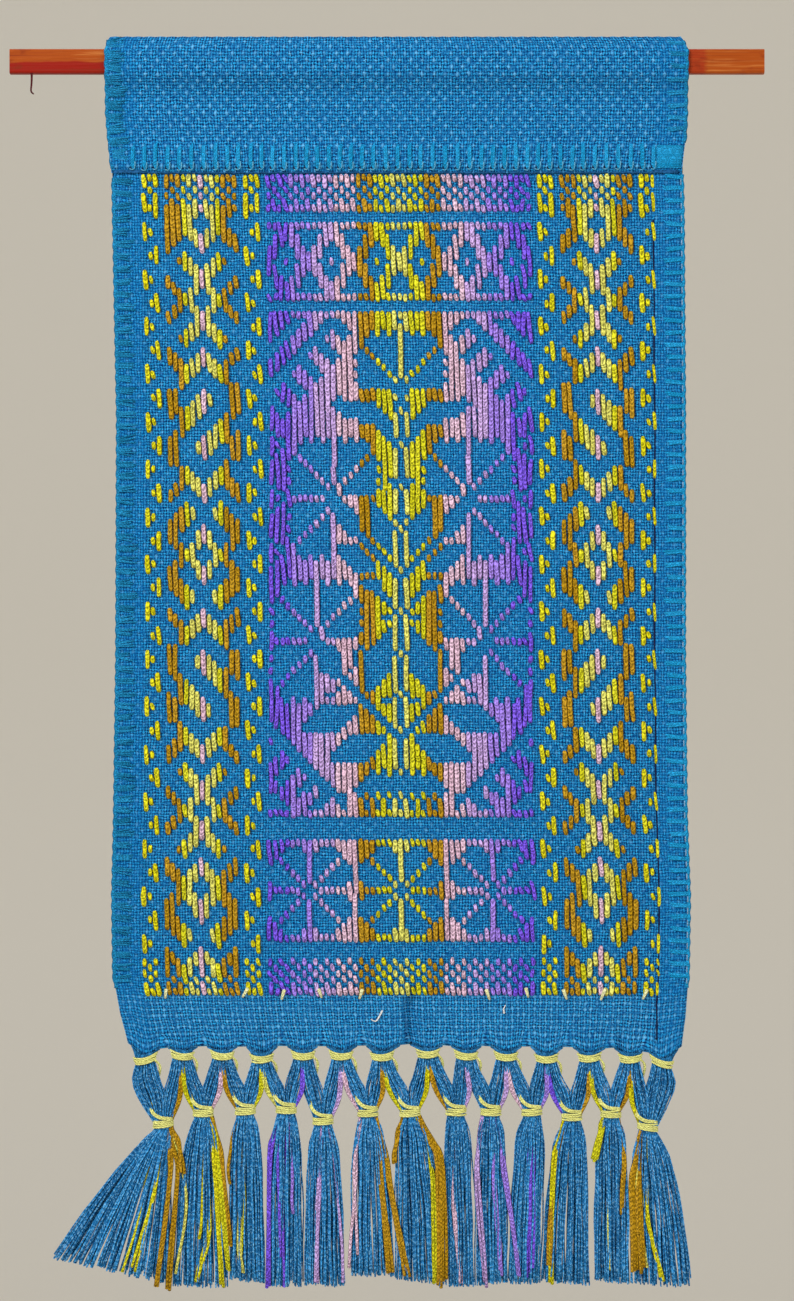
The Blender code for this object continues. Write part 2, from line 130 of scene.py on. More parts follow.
def softCurve(points, count):
    # a smooth path through a few points
    points = np.asarray(points, float)
    padded = np.vstack([2 * points[0] - points[1], points, 2 * points[-1] - points[-2]])
    places = np.linspace(0, len(points) - 1, count)
    index = np.minimum(places.astype(int), len(points) - 2)
    share = (places - index)[:, None]
    a, b, c, d = (padded[index + step] for step in range(4))
    square, cube = 2 * a - 5 * b + 4 * c - d, 3 * b - a - 3 * c + d
    return 0.5 * (2 * b + (c - a) * share + square * share ** 2 + cube * share ** 3)


def mix(a, b, share):
    return a + (b - a) * share


def clamp(value):
    return min(1.0, max(0.0, value))


def shareBelow(z, top, run):
    # 0 down to the height top, and 1 from a run further down
    return clamp((top - z) / run)


# Material helpers


def feed(value, socket):
    # a socket takes a number or colour, or what another node gives
    if isinstance(value, Signal):
        value.tree.links.new(value.socket, socket)
    elif value is not None:
        socket.default_value = value


def addNode(tree, kind, feeds, output=0):
    node = tree.nodes.new(kind)
    for name, value in feeds.items():
        feed(value, node.inputs[name])
    return Signal(tree, node.outputs[output])


class Signal:
    # what a shader node gives; arithmetic on it adds math nodes
    def __init__(self, tree, socket):
        self.tree = tree
        self.socket = socket

    def calc(self, operation, first, second=None):
        result = addNode(self.tree, "ShaderNodeMath", {0: first, 1: second})
        result.socket.node.operation = operation
        return result

    def __add__(self, other):
        return self.calc("ADD", self, other)

    def __sub__(self, other):
        return self.calc("SUBTRACT", self, other)

    def __rsub__(self, other):
        return self.calc("SUBTRACT", other, self)

    def __mul__(self, other):
        return self.calc("MULTIPLY", self, other)

    def __truediv__(self, other):
        return self.calc("DIVIDE", self, other)

    def __mod__(self, other):
        return self.calc("MODULO", self, other)

    def __lt__(self, other):
        return self.calc("LESS_THAN", self, other)

    def __gt__(self, other):
        return self.calc("GREATER_THAN", self, other)

    def __abs__(self):
        return self.calc("ABSOLUTE", self)

    def __floor__(self):
        return self.calc("FLOOR", self)

    def fraction(self):
        return self.calc("FRACT", self)

    def sine(self):
        return self.calc("SINE", self)

    def larger(self, other):
        return self.calc("MAXIMUM", self, other)

    def clipped(self):
        # held between 0 and 1
        self.socket.node.use_clamp = True
        return self

    def parts(self):
        node = addNode(self.tree, "ShaderNodeSeparateXYZ", {0: self}).socket.node
        return [Signal(self.tree, socket) for socket in node.outputs]

    def noise(self, stretch, detail=2.0, roughness=0.5):
        # clouds at this place, finer where it is stretched more
        place = addNode(self.tree, "ShaderNodeVectorMath", {0: self, 1: stretch})
        place.socket.node.operation = "MULTIPLY"
        feeds = {"Vector": place, "Scale": 1.0, "Detail": detail, "Roughness": roughness}
        return addNode(self.tree, "ShaderNodeTexNoise", feeds, "Fac")

    def blend(self, first, second):
        # from the first colour to the second as this goes from 0 to 1
        node = self.tree.nodes.new("ShaderNodeMix")
        node.data_type = "RGBA"
        colorInputs = [socket for socket in node.inputs if socket.type == "RGBA"]
        feed(self, [socket for socket in node.inputs if socket.type == "VALUE"][0])
        feed(first, colorInputs[0])
        feed(second, colorInputs[1])
        return Signal(self.tree, [socket for socket in node.outputs if socket.type == "RGBA"][0])


def newMaterial(name, roughness, gloss=0.1):
    material = bpy.data.materials.new(name)
    material.use_nodes = True
    shader = material.node_tree.nodes["Principled BSDF"]
    shader.inputs["Roughness"].default_value = roughness
    shader.inputs["Specular IOR Level"].default_value = gloss
    return material, material.node_tree, shader


def finishMaterial(shader, color, height, relief):
    bump = addNode(height.tree, "ShaderNodeBump", {"Height": height, "Distance": relief * mm}, "Normal")
    feed(color, shader.inputs["Base Color"])
    feed(bump, shader.inputs["Normal"])


def objectPlace(tree):
    return addNode(tree, "ShaderNodeTexCoord", {}, "Object")


def attributePlace(tree, name):
    vector = addNode(tree, "ShaderNodeAttribute", {}, "Vector")
    vector.socket.node.attribute_name = name
    return vector


def scaled(color, factor):
    return tuple(channel * factor for channel in color[:3]) + (1.0,)


def yarnMaterial(name, color, plyLength=1.4, depth=0.6, twist=0.7, dots=0.0, edge=0.8, spread=0.8,
                 shadow=None, glint=None):
    # Two strands twisted together: small chevrons with painted shade between the strands, painted shade along
    # both sides, and a dark dot of painted shade at each crossing.
    # plyLength is one turn, depth how dark that painted shade is, spread the tone of the dullest yarns;
    # shadow, if given, is the painted shade's colour.
    material, tree, shader = newMaterial(name, 0.85)
    along, turn, tone = attributePlace(tree, "yarnPlace").parts()
    spot = objectPlace(tree)
    fibre = spot.noise((2600, 2600, 900), 3.0, 0.65)
    wear = spot.noise((240, 240, 240))
    uneven = spot.noise((420, 420, 420), 1.0)
    fromMiddle = abs(turn + (uneven - 0.5) * 0.3 - 0.5)
    beat = along / plyLength + tone * 7.0 + uneven * 2.4
    ply = ((beat + fromMiddle * (4 * twist)) * (2 * math.pi)).sine() * 0.5 + 0.5
    away = fromMiddle * 15.0
    ahead = (beat.fraction() - 0.5) * 2.1
    # painted shade: a dark dot in the hollow where the two strands cross, also sunk in the bump
    dot = (1.0 - (away * away + ahead * ahead)).clipped()
    # painted shade along both sides of the yarn, as dark as edge sets
    side = ((fromMiddle - 0.12) * 8.0).clipped()
    shade = (ply * 0.5 + fibre - dot * dots - side * edge).clipped()
    pale = tuple(min(1.0, channel * 1.12 + 0.03) for channel in color[:3]) + (1.0,)
    toned = (tone * 0.6 + wear * 0.4).clipped().blend(scaled(color, spread), pale)
    base = shade.blend(shadow or scaled(color, depth ** 2), toned)
    if glint:
        # painted highlight: short light dashes on the crests of the twist
        crest = ((ply * fibre - 0.36) * 4.0).clipped()
        base = (crest * 0.62).blend(base, glint)
    finishMaterial(shader, base, ply - dot + fibre * 0.8, 0.3)
    return material


# Rod
rod = {
    "upper": paint(148, 66, 12),
    "lower": paint(132, 24, 4),
    "blush": paint(142, 34, 18),  # the redder stain beside the cloth on the right
    "grain": paint(176, 104, 50),
    "stain": paint(112, 36, 8),
    "boundary": -0.4,  # height where the orange side meets the redder arris
    "blushEnd": 134.5,
}


def makeRodMaterial():
    material, tree, shader = newMaterial("stained lath", 0.55, 0.12)
    place = objectPlace(tree)
    x, _, z = place.parts()
    shake = place.noise((60, 60, 60)) * 2.4
    height = z * 1000 + shake
    along = x * 1000 + shake
    upper = ((height + (-rod["boundary"] - 0.8)) * 1.2).clipped()
    rightEnd = ((along - (rod["blushEnd"] - 0.5)) * 0.5).clipped()
    rightSide = x > 0.0
    grain = place.noise((36, 800, 800), 3.0, 0.6)
    lines = place.noise((22, 1500, 1500))
    patches = place.noise((90, 200, 200), 3.0, 0.6)
    base = upper.larger(rightSide).blend(rod["lower"], rod["upper"])
    base = (rightSide * (1.0 - rightEnd) * 0.6).blend(base, rod["blush"])
    streak = ((grain - 0.5) * 4.5).clipped()
    base = (streak * upper.larger(rightEnd)).blend(base, rod["grain"])
    dark = ((0.46 - lines) * 6.0).clipped()
    worn = ((0.44 - patches) * 5.0).clipped()
    base = (dark * 0.6).larger(worn).blend(base, rod["stain"])
    finishMaterial(shader, base, grain + lines * 0.5, 0.25)
    return material


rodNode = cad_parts["rod"]
rodNode.data.materials.clear()
rodNode.data.materials.append(makeRodMaterial())
print("rod stained")


# Cloth: one sheet, folded to the front over the rod as the heading, then hanging down behind it
cloth = {
    "thread": 2.366,  # pitch of the standing threads, the same as the pattern's columns
    "pick": 2.495,  # pitch of the crossing threads, the same as the pattern's rows
    "headingPick": 2.74,
    "thickness": 1.4,
    "relief": 0.13,  # how far a thread stands out at a crossing
    "hemWidth": 12.8,
    "hemRaise": 0.9,
    "stitchTop": -34.6,  # below this height stitches lift the heading's foot
    "stitchRaise": 0.4,
    "flapDrop": 45.4,
    "hangDepth": 2.6,
    "frontPoints": 14,  # this many points of the heading's section are its front
    "footTop": -384.0,  # below this height the cloth reaches down to its uneven foot
    # these five are the height where a change begins, and its run
    "waves": (-12.0, 30.0),
    "edgeThinning": (-43.4, 2.6),
    "stitchFade": (-42.6, 2.4),
    "hemNarrowing": (-396.0, 17.0),
    "gathering": (-404.0, 9.0),
    "creaseRun": 8.0,
    "gatherReach": 5.6,
    "stripTop": -392.0,  # plain strip under the pattern
    # the dye's dark blue, used as painted shade between the thread crossings
    "blueInShade": paint(0, 62, 118),
    "blue": paint(42, 164, 228),
    # painted highlight on the threads' tops
    "threadTopHighlight": paint(100, 182, 234),
    "weaveGapShade": paint(0, 12, 66),  # painted shade in the small holes between the threads
    "hemTone": paint(0, 100, 164),
    "patchTone": paint(0, 88, 150),
}
# Side edges of the heading and of the hanging cloth: height, left, right
flapEdges = (
    (-45.4, -115.9, 123.9), (-38.0, -116.4, 124.7), (-31.0, -117.2, 125.6), (-21.0, -118.0, 126.0),
    (4.0, -118.0, 126.0), (8.0, -117.4, 124.9), (10.0, -116.3, 123.2),
)
clothEdges = (
    (-413.0, -108.9, 123.9), (-400.8, -112.2, 125.6), (-384.0, -115.1, 126.8), (-350.5, -115.5, 127.3),
    (-316.8, -114.7, 126.0), (-249.6, -113.8, 125.2), (-149.0, -113.4, 125.2), (-64.7, -115.1, 124.7),
    (-45.4, -115.5, 124.3), (4.0, -117.2, 125.4), (8.0, -117.4, 124.9), (10.0, -116.3, 123.2),
)
# Middle line of the fold, from the heading's lower edge over the rod and down behind it: depth, height
headingSection = (
    (1.95, -46.3), (1.35, -45.2), (0.95, -43.0), (0.8, -36.0), (0.7, -20.0), (0.2, -13.0), (-2.0, -8.0),
    (-3.6, -5.2), (-3.85, 0.0), (-3.6, 5.0), (-1.9, 7.2), (-0.9, 8.9), (-0.6, 9.6), (0.0, 9.9), (0.6, 9.6),
    (0.9, 8.9), (1.9, 7.2), (3.6, 5.0), (3.85, 0.0), (3.7, -5.2), (3.1, -12.0), (2.6, -24.0),
)
# Foot of the cloth: place across, height
footLine = (
    (-107.4, -411.5), (-101.0, -413.8), (-84.0, -413.0), (0.0, -412.6), (60.0, -412.8), (100.0, -413.8),
    (114.0, -415.2), (123.3, -412.8),
)
# Creases at the foot: place across, height of the top, reach to the left and right, depth
puckers = ((-51.5, -400.0, 2.4, 4.0, 2.2), (9.4, -387.0, 2.6, 6.0, 4.8), (98.5, -402.0, 2.4, 4.0, 2.6))


def solidPoints(name):
    return np.array([vertex.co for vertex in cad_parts[name].data.vertices], float) / mm


def knotOf(name):
    # middle of a binding and the slope of its turns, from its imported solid
    points = solidPoints(name)
    low, high = points.min(0), points.max(0)
    offset = points - points.mean(0)
    slope = float((offset[:, 0] * offset[:, 2]).sum() / (offset[:, 0] ** 2).sum())
    return {"x": float(low[0] + high[0]) / 2, "z": float(low[2] + high[2]) / 2, "slope": slope}


upperKnots = [knotOf(f"binding_upper_{i:02d}") for i in range(1, 15)]
lowerKnots = [knotOf(f"binding_lower_{i:02d}") for i in range(1, 14)]


def readEdge(edges, at, column):
    # a value between the rows of a table, whose first column rises
    return float(np.interp(at, [row[0] for row in edges], [row[column] for row in edges]))


def footHeight(x):
    return readEdge(footLine, x, 1)


def gathered(x, z):
    # the last rows of the cloth are drawn down and together into the upper bundles
    share = shareBelow(z, *cloth["gathering"]) ** 2
    if share == 0:
        return x, z
    knot = min(upperKnots, key=lambda each: abs(each["x"] - x))
    near = math.exp(-(((x - knot["x"]) / cloth["gatherReach"]) ** 2))
    foot = min(footHeight(x), mix(footHeight(x) - 0.3, knot["z"] + 1.6, near))
    inside = clamp((113.0 - abs(x - 8.0)) / 12.0)
    return x + (knot["x"] - x) * 0.2 * share * inside, z + (foot - footHeight(x)) * share


def hangWave(x, z):
    # slow waves of the hanging cloth, and the troughs at its foot
    waves = 0.35 * math.sin(x / 17.0 + z / 80.0) + 0.25 * math.sin(z / 34.0 - x / 60.0)
    troughs = 0.0
    for at, top, toLeft, toRight, depth in puckers:
        reach = toLeft if x < at else toRight
        troughs += depth * shareBelow(z, top, cloth["creaseRun"]) * max(0.0, 1.0 - abs(x - at) / reach)
    return shareBelow(z, *cloth["waves"]) * waves + troughs


middleHeight = -200.0
nominalLeft = readEdge(clothEdges, middleHeight, 1)
nominalRight = readEdge(clothEdges, middleHeight, 2)


def acrossCloth(nominal, z, edges=clothEdges):
    # the cloth runs wider and narrower as it goes down, and its threads spread with it
    left, right = readEdge(edges, z, 1), readEdge(edges, z, 2)
    share = (nominal - nominalLeft) / (nominalRight - nominalLeft)
    return nominal + mix(left - nominalLeft, right - nominalRight, share)


def frontOf(x, z):
    # depth of the hanging cloth's front face
    return cloth["hangDepth"] + hangWave(x, z) - cloth["thickness"] / 2


def hemWidthAt(z):
    # the hems narrow as the cloth draws in at its foot
    return cloth["hemWidth"] - 2.4 * shareBelow(z, *cloth["hemNarrowing"])


def edgeThinning(z):
    # the heading thins towards its lower edge, to half
    return 0.5 * shareBelow(z, *cloth["edgeThinning"])


def stitchRelief(z):
    # the stitches lift the heading's foot, less towards its edge
    if z >= cloth["stitchTop"]:
        return 0.0
    return cloth["stitchRaise"] * (1 - shareBelow(z, *cloth["stitchFade"]))


def hemShare(x, left, right, z):
    # 1 on the folded hem, 0 off it
    outer = min(x - left, right - x)
    return clamp(outer / 1.2) * clamp((hemWidthAt(z) + 0.6 - outer) / 1.2)


def hemFold(x, z):
    # a slanting tuck where the stitches of the right hem end, and the gap along its turned edge
    off = (z + 393.5) * 0.85 - (x - 118.4) * 0.53
    tuck = 0.8 * math.exp(-((off / 0.9) ** 2)) - 0.6 * math.exp(-(((off - 2.0) / 1.0) ** 2))
    return tuck * clamp((x - 113.0) / 3.0)


def resample(points, step):
    points = np.asarray(points, float)
    along = np.concatenate([[0.0], np.cumsum(np.linalg.norm(np.diff(points, axis=0), axis=1))])
    count = max(2, 2 * int(round(along[-1] / step / 2)) + 1)
    places = np.linspace(0, along[-1], count)
    return np.stack([np.interp(places, along, points[:, k]) for k in range(2)], axis=1)


def clothStations():
    # stations down the sheet at half a thread's pitch: depth, height, thread number
    section = softCurve(headingSection, 220)
    top = int(np.argmax(section[:, 1]))
    half = cloth["pick"] / 2
    flap = resample(section[: top + 1], cloth["headingPick"] / 2)
    back = resample(np.vstack([section[top:], [[2.6, -cloth["flapDrop"]]]]), half)
    bodyLength = -cloth["flapDrop"] - footHeight(0)
    steps = 2 * int(round(bodyLength / half / 2))
    body = [[2.6, -cloth["flapDrop"] - (k + 1) * bodyLength / steps] for k in range(steps)]
    return np.vstack([flap, back[1:], body]), len(flap) - 1, len(flap) + len(back) - 2


def makeCloth(material):
    stations, top, panel = clothStations()
    last = len(stations) - 1
    columnCount = 2 * int(round((nominalRight - nominalLeft) / cloth["thread"]))
    columns = np.linspace(nominalLeft, nominalRight, columnCount + 1)
    points, place, faces = [], [], []

    def addRow(i, side, fine):
        # side 1 is the rod's side on the heading and the front of the hanging cloth, side -1 the other
        depth, height = stations[i]
        before, after = stations[max(i - 1, 0)], stations[min(i + 1, last)]
        run = math.hypot(*(after - before))
        outY, outZ = (before[1] - after[1]) / run, (after[0] - before[0]) / run
        edges = flapEdges if i < top else clothEdges
        left, right = readEdge(edges, height, 1), readEdge(edges, height, 2)
        row = []
        for k in range(0, columnCount + 1, 1 if fine else 2):
            x, z = acrossCloth(columns[k], height, edges), height
            if i > panel and height < cloth["footTop"]:
                reach = (footHeight(x) - cloth["footTop"]) / (footHeight(0) - cloth["footTop"])
                x, z = gathered(x, cloth["footTop"] + (z - cloth["footTop"]) * reach)
            u, v = k / 2, (i - top) / 2
            lift = -cloth["relief"] * math.cos(math.pi * u) * math.cos(math.pi * v)
            hem = hemShare(x, left, right, height)
            thin = edgeThinning(height) if i < top else 0.0
            step = cloth["thickness"] / 2 * (1 - thin) + lift
            if side == 1 and i >= panel:
                step += cloth["hemRaise"] * hem
            if side == 1 and i > panel:
                step += hemFold(x, z)
            if side == -1 and 0 < i < top:
                step += stitchRelief(height)
            y = depth + hangWave(x, z)
            row.append(len(points))
            points.append((x, y - side * outY * step, z - side * outZ * step))
            place.append((u, v, hem if i >= panel or side == -1 else 0.0))
        return row

    def bridge(first, second):
        if len(first) == len(second):
            for k in range(len(first) - 1):
                faces.append((first[k], first[k + 1], second[k + 1], second[k]))
            return
        fine, coarse = (first, second) if len(first) > len(second) else (second, first)
        for k in range(len(coarse) - 1):
            faces.append((coarse[k], *fine[2 * k : 2 * k + 3], coarse[k + 1]))

    outer = [(i, addRow(i, -1, True)) for i in range(0, top + 1)]
    outer += [(i, addRow(i, -1, False)) for i in range(top + 2, last + 1, 2)]
    inner = [(i, addRow(i, 1, False)) for i in range(0, panel + 1, 2)]
    inner += [(i, addRow(i, 1, True)) for i in range(panel + 1, last + 1)]
    for side in (outer, inner):
        for (_, upper), (_, lower) in zip(side, side[1:]):
            bridge(upper, lower)
    bridge(outer[0][1], inner[0][1])
    bridge(outer[-1][1], inner[-1][1])
    for end in (0, -1):
        rims = [{i: row[end] for i, row in side} for side in (outer, inner)]
        for i in range(0, last, 2):
            loop = [rims[0].get(n) for n in (i, i + 1, i + 2)] + [rims[1].get(n) for n in (i + 2, i + 1, i)]
            faces.append(tuple(corner for corner in loop if corner is not None))
    piece = smoothMesh("cloth_sheet", points, faces, material)
    addAttribute(piece, "threadPlace", place)
    return piece


def makeClothMaterial():
    # fine plain weave, and over it the staggered lattice of short floats that carry the pattern yarns
    material, tree, shader = newMaterial("blue even-weave cloth", 0.9, 0.06)
    place = attributePlace(tree, "threadPlace")
    u, v, hem = place.parts()
    spot = objectPlace(tree)

    def wander(value, scale, amount, shift):
        return value + (place.noise((scale, scale, shift), 1.0) - 0.5) * amount

    def crossing(first, second):
        # distance from the nearest crossing, chance of its own, and 1 where the standing thread lies over
        nearFirst, nearSecond = math.floor(first + 0.5), math.floor(second + 0.5)
        cell = addNode(tree, "ShaderNodeCombineXYZ", {0: nearFirst, 1: nearSecond})
        chance = addNode(tree, "ShaderNodeTexWhiteNoise", {"Vector": cell}, "Value")
        return abs(first - nearFirst), abs(second - nearSecond), chance, abs((nearFirst + nearSecond) % 2.0)

    def blob(offU, offV, wide, tall):
        first, second = offU / wide, offV / tall
        return (1.0 - (first * first + second * second)).clipped()

    onHeading = v < 0.0
    onStrip = spot.parts()[2] < cloth["stripTop"] * mm
    u = wander(wander(u, 0.5, 0.45, 0.3), 2.3, 0.36, 0.5)
    v = wander(wander(v, 0.6, 0.45, 0.9), 2.1, 0.36, 0.2)
    offU, offV, chance, over = crossing(u, v)
    fineU, fineV, fineChance, fineOver = crossing(u * 2.0, v * 2.0)
    standing = blob(fineU, fineV, 0.42, 0.75) * fineOver
    lying = blob(fineU, fineV, 0.75, 0.42) * (1.0 - fineOver)
    weave = (standing + lying) * (fineChance + 0.35)
    # painted highlight on the standing threads' tops; on the plain strip on those of both threads
    tops = blob(offU, offV, 0.38, 0.44) * over.larger(onStrip) * (chance * 0.75 + 0.35)
    # painted shade in the small holes where the fine threads part
    corner = ((fineU * fineV - 0.05) * 13.0).clipped()
    corner = (corner * (fineChance * 0.9 + 0.2)).clipped()
    fibre = spot.noise((1500, 1500, 1300), 3.0, 0.75)
    rough = (fibre - 0.46) * 1.6
    # painted shade: dark blue in the gaps between the thread crossings, lighter blue on the threads
    base = (weave * 0.7 + rough).clipped().blend(cloth["blueInShade"], cloth["blue"])
    # painted highlight on the thread tops, brighter on the heading and the plain strip
    bright = tops * ((onHeading + onStrip) * 0.35 + 0.48) + rough * 0.6
    base = bright.clipped().blend(base, cloth["threadTopHighlight"])
    base = corner.blend(base, cloth["weaveGapShade"])
    base = (hem * 0.25).blend(base, cloth["hemTone"])
    tint = (spot.noise((26, 26, 26)) * 0.5 + place.noise((1.7, 0.05, 0.0), 1.0) * 0.4).clipped()
    base = (tint * 0.25).blend(base, cloth["patchTone"])
    finishMaterial(shader, base, weave + tops + fibre * 0.7, 0.35)
    return material


clothSheet = makeCloth(makeClothMaterial())
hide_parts("cloth")
print("cloth woven,", len(clothSheet.data.polygons), "faces")


# Pattern draft. Columns are numbered from the middle, rows from the top; a float is a stretch of rows
# where a column's yarn lies on the front. Colour goes by column, as the yarns were set up on the loom.
draft = {
    "middle": 5.9,  # place of column 0
    "top": -47.5,
    "rows": 138,
    "columns": 45,  # on each side of column 0
    "borderMiddle": 35,
    "field": (23, 107),  # its first and last row
    "halfField": 23,  # its columns on each side of column 0
    "longest": 10,
    "loose": 20,  # from this column out, the field's floats lie loosely
    "emptyColumns": (24, 28, 42),  # these carry no pattern yarn
    "footRows": 7,  # rows under the panel, down which the yarns run behind the cloth to the fringe
}
# Motifs: columns away from the motif's middle, each with its floats as first and last row
crossMotif = {
    0: [(3, 5)], 1: [(2, 6)], 2: [(1, 3), (6, 7)], 3: [(0, 2), (7, 7)], 4: [(1, 1), (6, 7)], 5: [(5, 6)],
    6: [(4, 5)],
}
ringMotif = {
    0: [(4, 6)], 1: [(5, 7)], 2: [(1, 2), (7, 8)], 3: [(0, 3), (8, 8)], 4: [(1, 4), (7, 8)], 5: [(2, 7)],
    6: [(3, 6)],
}
lozengeMotif = {
    -6: [(0, 2), (7, 11), (15, 19), (24, 25)], -5: [(1, 3), (7, 10), (14, 19), (23, 24)],
    -4: [(2, 6), (10, 14), (20, 23)], -3: [(3, 5), (10, 13), (20, 22)], -2: [(2, 4), (9, 12), (21, 23)],
    -1: [(1, 3), (8, 11), (16, 17), (22, 24)], 0: [(0, 2), (7, 10)],
}
urnMotif = {
    0: [(0, 2), (7, 10)], 1: [(1, 3), (6, 9)], 2: [(2, 7), (12, 13)], 3: [(3, 6), (11, 14)],
    4: [(2, 7), (10, 13)], 5: [(1, 3), (6, 12)], 6: [(0, 2), (7, 11)],
}
headMotif = {
    0: [(1, 1), (6, 8)], 1: [(0, 2), (5, 7)], 2: [(1, 6)], 3: [(0, 5)], 4: [(1, 6)], 5: [(0, 2), (5, 7)],
    6: [(1, 1), (6, 8)],
}
headFilled = {4: [(1, 6)], 5: [(0, 7)], 6: [(1, 8)]}
footMotif = {0: [(0, 3)], 1: [(1, 2)], 2: [(2, 3)], 3: [(3, 4)], 4: [(2, 3)], 5: [(1, 2)], 6: [(0, 3)]}


def floatRows(grid, column, top, stretches, turnedIn=0):
    for first, last in stretches:
        if turnedIn:
            first, last = turnedIn - 1 - last, turnedIn - 1 - first
        grid[top + first : top + last + 1, column + draft["columns"]] = True


def placeMotif(grid, motif, middle, top, mirroredIn=0):
    for away, stretches in motif.items():
        for side in (-1, 1):
            floatRows(grid, middle + side * away, top, stretches)
            if mirroredIn:
                floatRows(grid, middle + side * away, top, stretches, mirroredIn)


def placeTurning(grid, motif, middle, top, height, side):
    # the motif's other half is this one turned half round
    for away, stretches in motif.items():
        floatRows(grid, middle + side * away, top, stretches)
        floatRows(grid, middle - side * away, top, stretches, height)


def chartBorder(grid, side):
    middle = side * draft["borderMiddle"]
    placeMotif(grid, headMotif, middle, 4)
    if side == -1:
        for away, stretches in headFilled.items():
            floatRows(grid, middle - away, 4, stretches)
    for top in (13, 99):
        placeMotif(grid, crossMotif, middle, top, 16)
    placeTurning(grid, lozengeMotif, middle, 29, 26, -side)
    placeMotif(grid, ringMotif, middle, 55, 18)
    placeTurning(grid, lozengeMotif, middle, 73, 26, side)
    placeMotif(grid, urnMotif, middle, 115)
    placeMotif(grid, footMotif, middle, 130)
    for end in (-1, 1):
        for outer, first in ((8, 5), (10, 9)):
            for level in range(first, 130, 8):
                floatRows(grid, middle + end * outer, level, [(-1, 1)])
                floatRows(grid, middle + end * 9, level, [(0, 0)])


def chartChecker(grid):
    # alternate dots along the panel's top and bottom
    for column in range(-draft["columns"], draft["columns"] + 1):
        if abs(column) in draft["emptyColumns"]:
            continue
        inBorder = abs(column) > draft["halfField"]
        away = abs(abs(column) - draft["borderMiddle"])
        odd = column % 2 == 1
        floatRows(grid, column, 0, [(0, 1), (3, 3), (134, 134), (136, 137)] if odd else
                  [(0, 0), (2, 2), (135, 135), (137, 137)])
        if not inBorder:
            floatRows(grid, column, 0, [(5, 5), (132, 132)] if odd else [(4, 5), (133, 133)])
        elif away >= 8:
            floatRows(grid, column, 0, [(132, 132)] if odd else [(133, 133)])
            if away == 10:
                floatRows(grid, column, 0, [(4, 5)])


def chartBands(grid):
    # a band of diamonds over the field and a band of eight-petalled flowers under it
    half = draft["halfField"]
    for column in range(-half, half + 1):
        away = abs((column + 4) % 8 - 4)
        for row in range(8, 21):
            lift = abs(row - 14)
            on = lift == 6 or 1.25 * away - 1.5 <= lift <= 1.25 * away + 1.5 or (away == 4 and lift == 0)
            grid[row, column + draft["columns"]] = on
        away = abs((column + 8) % 16 - 8)
        for row in range(112, 129):
            lift = abs(row - 120)
            spoke = (away == 0 and lift >= 2) or (lift == 0 and away >= 2)
            spoke = spoke or (away == lift and 1 <= away <= 5)
            corner = (away >= 5 and lift >= 12 - away) or (away == 7 and lift <= 1) or away == 8
            grid[row, column + draft["columns"]] = lift == 8 or spoke or corner or (away == 1 and lift >= 7)


# Figures of the field on one side of column 0, as outlines of (columns away, row)
fieldOutlines = (
    ((1.5, 58.0), (2.5, 58.0), (3.5, 56.5), (4.5, 55.6), (4.6, 55.0), (5.5, 55.0), (5.5, 61.0), (3.5, 63.0),
     (1.5, 64.0)),
    ((11.4, 62.0), (11.4, 63.6), (8.0, 66.9), (4.5, 66.9), (4.5, 65.0), (7.5, 62.0)),
    ((3.5, 68.0), (7.5, 68.0), (7.5, 69.0), (6.5, 70.0), (4.5, 70.0), (4.5, 71.0), (1.5, 74.0), (0.5, 74.0),
     (0.5, 73.0), (1.4, 73.0), (1.6, 71.0), (2.5, 70.0), (3.5, 70.0)),
    ((1.5, 76.0), (2.5, 76.0), (2.5, 77.0), (3.5, 77.0), (6.5, 80.0), (6.5, 87.0), (4.6, 87.0), (1.5, 83.9)),
    ((10.5, 80.0), (11.5, 80.0), (11.5, 79.0), (14.5, 79.0), (14.5, 84.0), (12.5, 84.0), (12.5, 85.0),
     (10.5, 85.0)),
    ((7.5, 89.0), (14.5, 89.0), (15.0, 90.0), (17.5, 93.0), (17.5, 94.0), (11.5, 94.0), (7.5, 91.0)),
    ((2.5, 94.0), (9.5, 94.0), (12.5, 97.0), (12.5, 99.0), (5.6, 99.0), (2.6, 96.0)),
    ((-0.5, 101.0), (6.4, 101.0), (8.4, 103.0), (8.4, 104.0), (-0.5, 104.0)),
)
fieldRosettes = ((0, 36), (12, 54), (15, 78))
fieldNodes = (39, 45, 52, 59, 66, 73, 80, 87, 93, 100)  # rows where the stem carries a dot
# Combs of slanting leaves, one leaf to three columns: float of the leaf, then first and last row behind it
upperLeaf = ((27, 29, 31), (26, 28, 32), (27, 27, 31))
lowerLeaf = ((95, 95, 99, 103), (98, 100, 102, 104), (97, 99, 103, 105))
# The outermost yarns are bound every few rows, a repeat of nine rows
looseBinding = {21: (0, 8), 22: (1, 8, 10), 23: (2, 7)}


def rosetteCells(dk, dr):
    # an eight-petalled flower: its bare petals, parted by spokes and edged with dots of yarn
    across, up = np.abs(dk), np.abs(dr)
    petals = (across <= 8) & (up <= 9) & (across + up <= 14) | (across == 6) & (up <= 9)
    petals |= (up == 10) & (across <= 5) & (across % 2 == 1)
    spokes = ((dk == 0) & (up >= 3)) | ((dr == 0) & (across >= 2)) | ((across >= 1) & (across == up - 1))
    spokes |= (dk == -1) & (dr == -1)
    return petals & ~spokes & ~((across == 8) & np.isin(up, (0, 1, 3, 5)))


